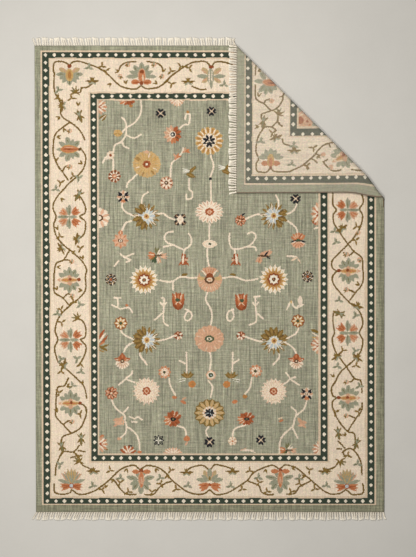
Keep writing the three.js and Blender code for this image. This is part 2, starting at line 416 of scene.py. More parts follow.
MOTIFS = {
    "amber daisy": [
        disc("gold", 14.2, 15, 0.2),
        *petals("ochre", around(15), 8, 13.4, 1.6),
        *petals("cream", around(15, 12), 7.5, 14, 1.5),
        *petals("bronze", around(15), 9, 12.6, 0.7),
        disc("cream", 7.6, 15, 0.16),
        *petals("navy", (20, 65, 115, 160, 205, 250, 290, 335), 2.4, 6.8, 2.8),
        disc("navy", 3.6),
        *petals("cream", (90, 210, 330), 0.4, 3.8, 1.1),
    ],
    "tan daisy": [
        disc("tan", 14.2, 21, 0.08),
        *petals("gold", around(21, 9), 5, 14, 1.1),
        *petals("straw", around(15, 6), 8, 14.2, 0.9),
        *petals("cream", (75, 200, 330), 7, 13, 0.9),
        petal("blush", 90, 11, 15, 4.5),
        *petals("bronze", (143, 152, 250, 305), 8, 13.6, 2),
        petal("gold", 30, 8, 13.6, 3),
        disc("brick", 4.2, 8, 0.12),
        disc("rust", 2.7),
        disc("cream", 1.3),
    ],
    "blue star left": blue_star((115, 145, 195, 223, 251)),
    "blue star low": blue_star((108, 134, 160, 186, 212, 238)),
    "blue star right": blue_star((20, 340, 305)),
    "blue star high": blue_star((20, 50, 80, 105, 130, 158)),
    "amber palmette": [
        disc("ivory", 14.8, 17, 0.2, pointed=True),
        *petals("shell", around(17), 9, 14.4, 0.8),
        disc("gold", 12.6, 17, 0.3, pointed=True, turn=10.6),
        disc("ochre", 10, 17, 0.2, pointed=True, turn=10.6),
        *petals("gold", around(17, 10.6), 6.5, 11, 0.8),
        *petals("cream", around(17), 8, 11.4, 0.7),
        disc("rust", 6.4, 8, 0.14),
        disc("ivory", 5.2, 8, 0.26, pointed=True),
        disc("umber", 1.9),
        disc("coral", 0.7),
    ],
    "cream daisy": [
        disc("cream", 14.2, 18, 0.2, pointed=True),
        *petals("shell", around(18, 10), 5, 12.6, 0.9),
        *petals("salmon", around(18), 8, 14.4, 0.6),
        disc("brick", 4.4, 8, 0.16),
        disc("blush", 2.6, 4, 0.2),
        disc("brick", 1.3),
    ],
    "cream aster": [
        disc("cream", 14.2, 18, 0.2),
        *petals("salmon", around(18, 0), 7.5, 14.4, 0.9),
        *petals("ivory", around(9, 10), 5, 11.5, 1.5),
        disc("brick", 4.8, 8, 0.14),
        disc("blush", 2.7, 4, 0.25),
        petal("coral", 80, -1.6, 2.2, 1),
    ],
    "salmon aster": [
        disc("salmon", 15, 16, 0.07),
        *petals("blush", around(16, 11), 6, 13.8, 0.9),
        *petals("peach", around(8, 30), 9, 14, 0.8),
        disc("pine", 4.9, flat=0.74),
        disc("leaf", 3.6, flat=0.7),
        disc("cream", 2.6, 5, 0.3, flat=0.7),
        disc("pine", 1.1),
    ],
    "night aster": [
        disc("olive", 15.4, 14, 0.12),
        *petals("straw", around(14), 4, 15, 4.4),
        *petals("tan", around(14), 6, 14.6, 2.2),
        *petals("olive", around(14, 12.8), 7, 15, 1.1),
        disc("cream", 7.3, 12, 0.25),
        *petals("blush", around(12, 15), 4, 7, 0.8),
        disc("navy", 5, 8, 0.3),
        *petals("mist", (70, 190, 310), 0.6, 4.4, 0.7),
    ],
    "salmon palmette": [
        disc("salmon", 12.6, 22, 0.07, y=-0.5),
        *petals("blush", around(14, 187, drawn=12), 5, 12.6, 0.9),
        *petals("peach", (199, 225, 251, 277, 303, 329), 7, 12, 0.7),
        *petals("celadon", (34, 146), 5, 12.2, 5.2),
        *petals("tan", (5, 175), 5, 12.6, 3.6),
        *petals("salmon", (60, 75, 90, 105, 120), 4, 13, 4.6),
        *petals("coral", (67, 82, 98, 113), 6, 12.4, 0.9),
        *petals("cream", (50, 130), 3, 12.8, 1.4),
        disc("umber", 5, flat=0.9),
        disc("rust", 3.6, y=3.6, flat=0.7),
        disc("shell", 3, flat=0.75, y=-0.4),
        petal("coral", 0, -2, 2.4, 1, y=-0.6),
    ],
    "eye": [
        petal("cream", 0, -7.7, 7.7, 8.4),
        petal("shell", 0, -7.2, 7.2, 6.2),
        petal("cream", 0, -5.5, 5.5, 5),
        disc("pine", 1.5, flat=0.8),
    ],
    "night star": [
        *petals("navy", around(8, 22), 1.3, 5.8, 3.1),
        *petals("shell", around(4, 45), 0.5, 4.4, 0.7),
        disc("shell", 0.9),
    ],
    "night cross": [
        *petals("navy", around(4, 45), 1.6, 6.2, 3),
        *petals("navy", around(4), 2.3, 5.6, 2),
        *petals("celadon", around(4, 45), 2.4, 4.8, 0.8),
        *petals("cloud", around(4), 0.4, 4, 0.8),
    ],
    "maroon rosette": [
        *petals("umber", around(4, 45), 2, 7.2, 5),
        *petals("navy", around(8, 22), 3.2, 6.8, 1.6),
        *petals("shell", around(4, 45), 3, 6, 0.7),
        disc("cream", 3.4, 4, 0.3, flat=1.3),
        disc("shell", 1),
    ],
    "pale rosette": [
        disc("cream", 6.4, 8, 0.26),
        *petals("blush", around(8, 22), 2, 6.4, 1.7),
        disc("umber", 2.2),
        disc("cream", 1.2),
    ],
    "salmon rosette": [
        disc("salmon", 6.8, 8, 0.2),
        *petals("rust", around(8, 22), 3.4, 7, 1.2),
        *petals("cream", around(8), 2, 5.8, 1.9),
        disc("umber", 2),
        disc("cream", 0.8),
    ],
    "cream knot": [
        disc("shell", 4.2, 7, 0.16),
        *petals("cream", (225, 205), 1, 6.2, 2.6),
        *petals("cream", around(5), 1, 4.2, 2),
        disc("rust", 1.5),
    ],
    "pale bud": [
        disc("shell", 4.4, 6, 0.2),
        *petals("cream", around(6), 1, 4.8, 1.7),
        *petals("salmon", around(6, 30), 1.2, 4.2, 0.9),
        disc("coral", 0.9),
    ],
    "rust bud": [
        disc("rust", 4.6, 7, 0.2),
        *petals("cream", (30, 190, 260, 320), 1, 4.8, 1.9),
        *petals("blush", (100, 160, 290), 1, 4.2, 1.3),
        disc("umber", 0.9, x=1),
    ],
    "black rosette": [
        disc("cream", 6.4, 8, 0.16),
        *petals("salmon", around(4), 2, 6.6, 2.6),
        *petals("coral", (250, 270, 290), 2.6, 6.6, 1.6),
        *petals("navy", around(4, 45), 1.8, 7, 2.8),
        *petals("navy", (20, 160), 3, 6.4, 1.4),
        disc("umber", 1.5),
        disc("shell", 0.7),
    ],
    "dark rosette": [
        disc("umber", 5.9, 8, 0.16),
        *petals("cream", around(8, 22), 1.6, 5.7, 1.2),
        *petals("navy", around(8), 1.8, 6.2, 2.5),
        *petals("tan", around(8), 3, 5, 0.7),
        disc("brick", 1.4),
    ],
    "rust rosette": [
        disc("brick", 6.4, 9, 0.18),
        *petals("cream", around(9, 20), 2, 6, 1.2),
        *petals("umber", around(9), 2.6, 6.2, 1.2),
        disc("coral", 2),
        disc("shell", 0.9),
    ],
    "gold rosette": [
        disc("rust", 6.7, 8, 0.14),
        *petals("gold", around(8), 1.5, 6.4, 2.6),
        *petals("cream", around(8), 2.2, 5.4, 1.4),
        disc("pine", 1.4),
    ],
    "coral rosette": [
        disc("salmon", 6.5, 9, 0.2),
        *petals("coral", around(9), 4, 6.6, 1.5),
        disc("cream", 4.2, 8, 0.2),
        *petals("blush", around(8, 22), 1.6, 4.8, 0.9),
        disc("pine", 1.5, x=-0.4, y=-0.2),
        disc("umber", 0.8),
    ],
    "brick rosette": [
        disc("brick", 6.6, 9, 0.22),
        *petals("blush", around(9), 2.2, 6, 1.6),
        *petals("umber", around(4, 30), 1.4, 5, 1.5),
        disc("shell", 1.2),
    ],
    "small rosette": [disc("blush", 5, 8, 0.15), disc("cream", 3.6), disc("pine", 2.4), disc("mist", 0.7)],
    "petal flower": [
        *petals("brick", (60, 22, 342, 312), 2, 9.4, 4.6),
        *petals("salmon", (100, 132, 165, 200, 235), 2, 9.4, 4.2),
        *petals("coral", (265, 285), 2, 9.8, 3.4),
        *petals("umber", (40, 2, 326), 3.4, 8.4, 0.9),
        *petals("shell", (116, 150, 182, 218, 250), 3, 8, 0.9),
        disc("cream", 3.2),
        disc("navy", 2.2, x=0.2),
        disc("cloud", 0.9, x=-0.3),
    ],
    "rust flower": [
        *petals("coral", (165, 190, 215), 2, 10, 3.2),
        *petals("brick", (25, 60, 95, 130), 2, 9, 5),
        *petals("brick", (245, 290, 330), 2, 8, 4.2),
        *petals("shell", (178, 203, 230, 78, 42), 3, 9, 0.9),
        *petals("rust", (12, 112, 310, 270), 3, 8, 1.4),
        disc("navy", 2.8, flat=0.7),
        disc("leaf", 0.9),
    ],
    "wing flower": [
        *petals("coral", (40, 62, 84, 106, 128, 150), 2, 8.6, 3.8),
        *petals("blush", (51, 73, 95, 117, 139), 3, 8, 1.3),
        petal("brick", 68, 2, 8, 1.4),
        *petals("blush", (205, 230, 255, 280, 305, 330), 1, 8, 3.6),
        *petals("coral", (218, 243, 268, 293, 318), 2.4, 7.6, 0.9),
        petal("navy", 352, 0, 8, 2.4),
        petal("navy", 188, 0, 8, 2.4),
        disc("pine", 2.4, flat=0.6, y=0.4),
        *petals("cream", (340, 200), 2, 7.4, 1.1),
    ],
    "skirt flower": [
        *petals("cream", (205, 228, 250, 270, 290, 312, 335), 1, 8, 4),
        *petals("salmon", (216, 240, 260, 280, 302, 324), 2, 7.8, 0.9),
        *petals("brick", (18, 162), 1, 8.6, 3.4),
        *petals("shell", (14, 166), 2, 7.6, 1),
        *petals("coral", (40, 140), 1, 6, 3.4),
        petal("brick", 90, 1, 8, 6),
        petal("coral", 90, 3, 7, 1.6),
        disc("umber", 2.1),
        disc("shell", 0.9),
    ],
    "salmon lozenge": [
        disc("salmon", 8.2, 8, 0.22, pointed=True),
        *petals("coral", around(8), 4, 8, 1),
        *petals("blush", around(8, 22), 2, 6.6, 1.4),
        disc("umber", 2.7, flat=0.7),
        disc("cream", 1.7, flat=0.8),
        petal("umber", 90, -1.6, 1.6, 0.9),
        petal("coral", 90, 6, 10.6, 4.6),
        petal("shell", 90, 7, 10, 1),
    ],
    "tulip": [
        disc("rust", 5.8, y=-2.4, flat=1.2),
        disc("brick", 6.2, y=1, flat=1),
        *petals("brick", (70, 83, 97, 110), 3, 17.4, 3.6, y=-9),
        *petals("coral", (74, 90, 106), 4, 16.6, 2, y=-9),
        *petals("shell", (78, 102), 10, 17, 1, y=-9),
        *petals("brick", (84, 96), 1, 8, 2, y=-9),
        disc("pine", 2.2, x=-0.6, y=0.6, flat=0.8),
        *petals("shell", (225, 315), 0.6, 5, 0.9, y=-1),
    ],
    "small tulip": [
        *petals("brick", (76, 104), -5.8, 6.4, 4.4),
        *petals("brick", (230, 310), 2, 8, 1.9),
        *petals("rust", (60, 20), 0, 5, 1.8),
        petal("cream", 84, -4.6, 5.8, 2.3, x=-0.6),
        petal("blush", 335, 1, 5, 2, y=1),
    ],
    "bird leaf": [
        petal("salmon", 20, -5, 8.6, 6.4, y=1.5),
        petal("blush", 35, -1, 8, 2, y=2),
        *petals("salmon", (232, 262), 1, 8, 3.6, x=-3.4),
        petal("coral", 248, 2, 8, 1.2, x=-3.4),
        petal("umber", 356, -7, 7.4, 2.1),
        petal("navy", 50, -1, 6.8, 2),
        petal("navy", 336, 2, 7, 1.6),
    ],
    "leafy flower": [
        *petals("coral", (160, 182, 202), 2, 9, 3.2),
        petal("shell", 171, 3, 8.4, 1.2),
        *petals("leaf", (78, 100), 1.5, 8.4, 2.6),
        *petals("cream", (60, 32), 1, 7.4, 1.6),
        *petals("pine", (235, 255), 1, 8.6, 3.4),
        petal("olive", 218, 3, 8.4, 1.4),
        *petals("salmon", (282, 302), 1.5, 9, 2.3),
        *petals("cream", (275, 291), 2, 8, 0.9),
        *petals("blush", (10, 342, 354), 4, 10.8, 1.7),
        petal("umber", 2, -3, 7, 1.6),
    ],
    "olive bud": [
        petal("leaf", 22, -1, 8, 2.6, y=1.5),
        petal("olive", 45, -2, 9, 4.2),
        petal("bronze", 45, 0, 8, 1),
        petal("olive", 340, -5, 6.4, 4.6, y=-4),
        petal("bronze", 340, -4, 5, 1.2, y=-4),
        *petals("cloud", (164, 180, 197), 1, 10, 1.3, y=1),
    ],
    "orange berry": [
        *petals("olive", (150, 122, 62, 34), 0, 8, 2.7, x=-1, y=3),
        *petals("bronze", (135, 95, 48), 0, 7, 1.1, x=-1, y=3),
        *petals("cloud", (186, 200), 2, 11, 1.3, y=2.5),
        petal("leaf", 193, 2, 10, 1, y=2.5),
        disc("orange", 3.7, 7, 0.08, x=3.3, y=-3),
        disc("ochre", 1.8, x=4, y=-3.4),
    ],
    "ochre bud": [
        disc("gold", 4.5, 6, 0.14, flat=0.76),
        *petals("tan", (20, 160, 270), 1, 4.8, 1.5),
        *petals("bronze", (200, 330), 0.5, 4.8, 1),
    ],
    # cut short by the guard bands
    "side fan": [
        *petals("salmon", (64, 32, 0, 328, 296), 0, 10, 4.2),
        *petals("cream", (48, 16, 344, 312), 1, 9.6, 2),
        *petals("coral", (32, 0, 328), 4, 9.6, 1),
        *petals("brick", (24, 340), 1, 5, 1.4),
    ],
    "hanging tuft": [
        *petals("blush", (196, 222, 248, 270, 292, 318, 344), 0, 8.4, 3.2),
        *petals("cream", (209, 235, 259, 281, 305, 331), 1, 8, 1.5),
        *petals("salmon", (222, 270, 318), 2, 8.4, 0.9),
    ],
    "rust tuft": [
        *petals("brick", (18, 48, 82, 116, 152), 0, 9, 3.6),
        *petals("cream", (33, 65, 99, 134), 1, 8.4, 1.7),
        *petals("coral", (56, 108), 2, 9, 1.1),
    ],
    # of the border
    "upright palmette": [
        *lobes("celadon", (127, 53), 4, 12.8, 4.6, y=1),
        *lobes("celadon", (157, 23), 5, 12.8, 3.8, y=0.4),
        *lobes("celadon", (181, 359), 4, 15, 4),
        *lobes("celadon", (90,), 6, 14.4, 5.4, x=0.5),
        *petals("leaf", (90, 127, 53), 7, 12, 0.9),
        *lobes("coral", (180, 0), 2, 10.4, 4.8, y=-5.6),
        *petals("brick", (180, 0), 2, 8.6, 1.5, y=-6.2),
        disc("salmon", 3.8, flat=2, x=0.6, y=0.4),
        disc("coral", 3, flat=2.2, x=0.6, y=0.4),
        disc("shell", 0.8, flat=4, x=1.6, y=-1.6),
        disc("rust", 2.1, x=0.6, y=4.6, flat=0.9),
        disc("rust", 1.9, y=-6.8),
    ],
    "bow palmette": [
        *lobes("celadon", (118, 62), 2, 9.4, 3.4),
        *lobes("celadon", (167, 13), 3, 14.6, 4.4),
        *lobes("celadon", (205, 335), 4, 11.6, 3.8),
        *lobes("celadon", (231, 309), 5, 12.8, 4.8),
        *lobes("celadon", (270,), 7, 14.4, 5.2, x=0.4),
        *petals("leaf", (167, 13, 231, 309), 6, 12, 0.9),
        *lobes("coral", (180, 0), 1.6, 9.6, 4.4, x=0.8, y=8.2),
        disc("rust", 2, x=0.8, y=9.2),
        petal("salmon", 270, -8.5, 8.6, 6, x=0.8),
        petal("coral", 270, -8.5, 7, 3.6, x=0.8),
        disc("salmon", 1.1, flat=3.4, x=0.8, y=-0.6),
        disc("coral", 1.3, x=0.8, y=-6),
    ],
    "lens palmette": [
        *lobes("celadon", (148, 214), 5, 13.4, 4.2),
        *lobes("celadon", (106, 254), 4, 12.8, 5.4),
        *lobes("celadon", (72, 288), 3, 10.4, 3.6),
        *lobes("celadon", (40, 320), 5, 12.4, 4.8),
        *lobes("celadon", (182,), 8, 14, 3.4),
        *petals("leaf", (106, 254, 40, 320), 6, 11, 0.9),
        petal("gold", 0, -9.8, 9.6, 8.4),
        petal("coral", 0, -9.2, 9.2, 6.8),
        petal("rust", 0, -7.4, 7.6, 1.3),
        petal("salmon", 0, -6, 5, 1.1, y=1.7),
        disc("umber", 1.5, x=9.2, y=-0.4),
    ],
    "peach palmette": [
        *lobes("celadon", (150, 212), 5, 13.2, 4.4),
        *lobes("celadon", (122, 240), 5, 12, 4.2),
        *lobes("celadon", (94, 266), 4, 13.4, 4.8),
        *lobes("celadon", (62, 298), 5, 12, 4.4),
        *lobes("celadon", (34, 326), 5, 11, 3.6),
        *petals("leaf", (94, 266, 62, 298), 6, 11, 0.9),
        *lobes("blush", (180,), 5, 13, 3.4),
        petal("shell", 0, -10, 9, 8.4),
        petal("gold", 0, -9, 8.6, 4.4),
        petal("coral", 0, -8.6, 8, 1.6),
        petal("salmon", 270, 1, 6, 4.6, x=-0.5),
        petal("salmon", 90, 1, 5, 4.6, x=-0.5),
        disc("rust", 1.5, x=0.1, y=0.8),
        disc("rust", 1.9, x=8.8, y=0.4),
    ],
    "cross palmette": [
        *petals("salmon", (128, 143, 158, 202, 217, 232), 3, 12, 3.2),
        *petals("coral", (135, 151, 209, 225), 4, 11.4, 1.5),
        *petals("coral", (24, 40, 56, 304, 320, 336), 4, 12.8, 2.7),
        *petals("brick", (32, 48, 312, 328), 5, 11.6, 1.2),
        *lobes("celadon", (90, 270), 2, 12.6, 3.6),
        *lobes("celadon", (105, 255), 3, 10.6, 2.4),
        *lobes("celadon", (180,), -4, 12.6, 3),
        *lobes("celadon", (0,), -4, 8, 3),
        *petals("leaf", (90, 270, 180), 2, 10, 0.8),
    ],
    "lotus": [
        *petals("salmon", (46, 60, 120, 134), 1, 14.6, 3.2, y=-4.2),
        *petals("celadon", (51, 64, 116, 129), 1, 13.4, 2.2, y=-4.2),
        *petals("straw", (76, 90, 104), 1, 15.4, 4.6, y=-4.2),
        *petals("gold", (69, 79, 90, 101, 111), 0, 13.2, 1.6, y=-4.2),
        *petals("celadon", (73, 84, 96, 107), 1, 13.6, 1, y=-4.2),
        *lobes("celadon", (16, 164), 1, 14, 3.4, y=-4),
        *petals("coral", (352, 8, 334, 188, 172, 206), 0, 11.4, 2.8, y=-6),
        *petals("brick", (0, 343, 180, 197), 1, 10, 1.1, y=-6),
        disc("brick", 2.8, y=-6.2),
        disc("mist", 1.8, y=-6),
    ],
    "grey lotus": [
        *lobes("straw", (118, 62), 2, 13, 4.4, y=-2),
        *lobes("celadon", (140, 40), 2, 11, 3.4, y=-2),
        *petals("salmon", (109, 71), 4, 11, 1.2, y=-2),
        *lobes("celadon", (90,), 2, 13, 4.6, y=-1),
        *petals("olive", (90,), 1, 6, 1.6, y=-2),
        *lobes("celadon", (10, 170), 3, 13.6, 4.2, y=-1.8),
        *petals("coral", (183, 200, 218, 322, 340, 357), 1, 11.6, 3.8, y=-4.6),
        *petals("brick", (192, 348), 2, 9.5, 1.1, y=-4.6),
        disc("brick", 1.6, y=-5),
    ],
    "hanging lotus": [
        *lobes("straw", (152, 28), 3, 11.8, 4.6, y=0.4),
        *petals("salmon", (140, 40), 3, 10, 1.4),
        *lobes("celadon", (179, 1), 3.4, 13.4, 4.4, y=-0.4),
        *lobes("celadon", (206, 334), 4, 11, 3.6),
        *lobes("celadon", (230, 310), 4, 11, 4),
        *lobes("celadon", (270,), 4, 11.2, 4.8),
        *petals("leaf", (179, 1, 270), 6, 11, 0.9),
        disc("tan", 3.9, flat=1.62, y=-0.8),
        disc("gold", 3.2, flat=1.7, y=-0.8),
        disc("ochre", 1.5, flat=2.6, y=-0.8),
        disc("rust", 2.2, y=8.2),
    ],
    "bronze lotus": [
        *lobes("celadon", (177, 3), 3, 14.2, 4),
        *lobes("straw", (141, 39), 4, 12.4, 4.6, y=1),
        *petals("salmon", (150, 30), 5, 12.4, 1.3, y=1),
        *lobes("straw", (211, 329), 3, 11.4, 4),
        *petals("salmon", (203, 337), 4, 11, 1.4, y=-0.4),
        disc("celadon", 3.2, flat=2.6, x=-0.6),
        *petals("cream", (90,), -7, 8.6, 1, x=-2),
        *petals("cream", (90,), -7, 8.6, 1, x=0.7),
        petal("celadon", 270, 4, 12.4, 2.8),
        disc("rust", 2.5, y=9.8, flat=0.66),
    ],
    "gold palmette": [
        *lobes("celadon", (90, 121, 59), 4, 11, 4.2),
        *lobes("celadon", (152, 28), 5, 11, 3.8),
        *lobes("celadon", (176, 4), 5, 13, 3.8, y=1),
        *lobes("coral", (180, 0), 2, 9.8, 4.8, y=-4.2),
        disc("gold", 3.5, flat=1.9, y=-1.4),
        disc("coral", 1.9, flat=2.4, y=-3),
        disc("rust", 1.5, y=-8.4),
    ],
    "crease palmette": [
        *lobes("celadon", (124, 172, 230, 262), 4, 12.6, 4.4),
        *lobes("celadon", (294, 322), 5, 12.4, 4.6),
        *petals("leaf", (124, 230, 262, 294), 6, 11, 0.9),
        petal("salmon", 350, -5, 12, 7),
        petal("coral", 350, -4, 12, 5.6),
        petal("rust", 350, 0, 10, 1.6),
    ],
    "star leaf": [
        *petals("celadon", (318, 226), 0, 4.8, 2.4),
        *petals("olive", (62, 90, 118), 0, 4.8, 1.7),
        *petals("olive", (4, 176), 0, 7.2, 2.3),
        *petals("olive", (205, 336), 0, 5.2, 1),
        *petals("umber", (4, 176), 1, 5, 0.6),
    ],
    "sprig": [
        *petals("olive", (78, 192, 335), 0, 5, 2),
        *petals("bronze", (78,), 1, 4.4, 0.8),
    ],
    "grey sprig": [
        *petals("celadon", (85, 190, 340), 0, 5, 2.5),
        *petals("leaf", (60, 190), 0, 4, 0.8),
    ],
    "twig leaf": [*petals("olive", (30, 82), -0.5, 4.6, 1.8)],
    "big leaf": [
        petal("olive", 90, -7.6, 6.6, 3.4),
        *petals("olive", (48, 132, 312, 228), 0, 6, 1.8),
        petal("leaf", 90, -6, 5, 1.4),
        *petals("celadon", (66, 114), 0, 4.6, 1.4),
    ],
    "corner leaf": [
        *petals("olive", (172, 138, 98, 210), 0, 6.8, 1.8),
        *petals("leaf", (172, 138), 2, 7, 0.7),
        *petals("olive", (335, 55), 0, 5, 1.5),
    ],
    "bud": [
        disc("blush", 2.5, flat=0.9),
        disc("shell", 1.1),
        petal("celadon", 90, -1, 2.6, 1.6),
        *petals("olive", (200, 245), 0.4, 3.6, 1.3),
    ],
    "pink bud": [disc("blush", 2.4), disc("salmon", 1.3), petal("celadon", 180, 1, 3.4, 1.6)],
}

# Where the flowers of the field stand: the motif, its place, and its size across and up. A size
# across that is left out is 1, and a size up that is left out is as large as the one across.
FIELD = [
    ("night star", 211.3, 111.4, 0.9),
    ("amber daisy", 209, 141),
    ("cream aster", 209.2, 211.9, 1, 0.82),
    ("eye", 209.6, 244),
    ("salmon palmette", 209.2, 279.3),
    ("salmon aster", 208.9, 338.8, 1, 0.9),
    ("small rosette", 210.4, 375),
    ("night aster", 208.9, 412.8, 1, 0.9),
    ("night star", 208.9, 441.8),
    ("olive bud", 226, 168.5, 0.9),
    # cut short by the guard bands
    ("side fan", 97.5, 107, 1, 0.9),
    ("rust flower", 128, 99.6, 1, 0.8),
    ("hanging tuft", 177, 98.6),
    ("pale rosette", 99.4, 218, 1.6),
    ("side fan", 97.5, 444, 1, 0.9),
    ("rust tuft", 127, 453.4),
    ("hanging tuft", 172, 453.6, 1.2, -0.8),
    ("side fan", 320.4, 214, -1, 1.3),
    ("side fan", 320.4, 345, -1),
    ("leafy flower", 286.9, 450, 0.9),
    ("side fan", 321.4, 449, -1, 0.9),
    # left
    ("night star", 160.6, 113.5, 1, 0.9),
    ("ochre bud", 117.8, 133.2),
    ("cream knot", 110.4, 155.3),
    ("rust rosette", 114.2, 176.4),
    ("tan daisy", 146.5, 164.4, 1, 0.95),
    ("black rosette", 123, 197),
    ("petal flower", 172.5, 134.6),
    ("salmon rosette", 166.2, 183),
    ("olive bud", 190.3, 171.8, 0.9),
    ("blue star left", 146.2, 216.5),
    ("maroon rosette", 179.9, 219.6),
    ("salmon lozenge", 120.2, 240.7),
    ("leafy flower", 156.4, 255.4),
    ("small tulip", 183.4, 259.6),
    ("amber palmette", 143.7, 280),
    ("dark rosette", 110.4, 279.6),
    ("tulip", 177.8, 300.4),
    ("gold rosette", 120.2, 323.2),
    ("blue star low", 146.2, 340),
    ("rust bud", 177.8, 335.4),
    ("skirt flower", 121.6, 361),
    ("coral rosette", 164, 372),
    ("orange berry", 188.1, 380.9),
    ("cream daisy", 145.8, 390.9),
    ("brick rosette", 110.7, 393),
    ("rust flower", 172.5, 419.1),
    ("night cross", 157.8, 440.2),
    # right
    ("brick rosette", 240, 220.5, 0.85),
    ("blue star right", 273.5, 215.9),
    ("night star", 295.4, 198.9, 1, 0.9),
    ("wing flower", 298, 240.9),
    ("bird leaf", 264.1, 256),
    ("small tulip", 235.5, 259.6, -1),
    ("amber palmette", 273.5, 279.3, 1.02),
    ("dark rosette", 307.4, 276.6),
    ("tulip", 240.9, 301.2, -1),
    ("gold rosette", 297.6, 320.9),
    ("blue star high", 273.7, 340.8),
    ("rust bud", 240.5, 335.7, -1),
    ("skirt flower", 296.1, 361.2, -1),
    ("coral rosette", 255.3, 370.9),
    ("orange berry", 229.5, 381.2, -1),
    ("cream daisy", 273.2, 391.3, 0.97),
    ("black rosette", 306.3, 393.9),
    ("rust flower", 246.1, 418.9, 1, 0.8),
    ("pale bud", 231.8, 440.8),
    ("night star", 260.4, 439.8, 0.95),
]

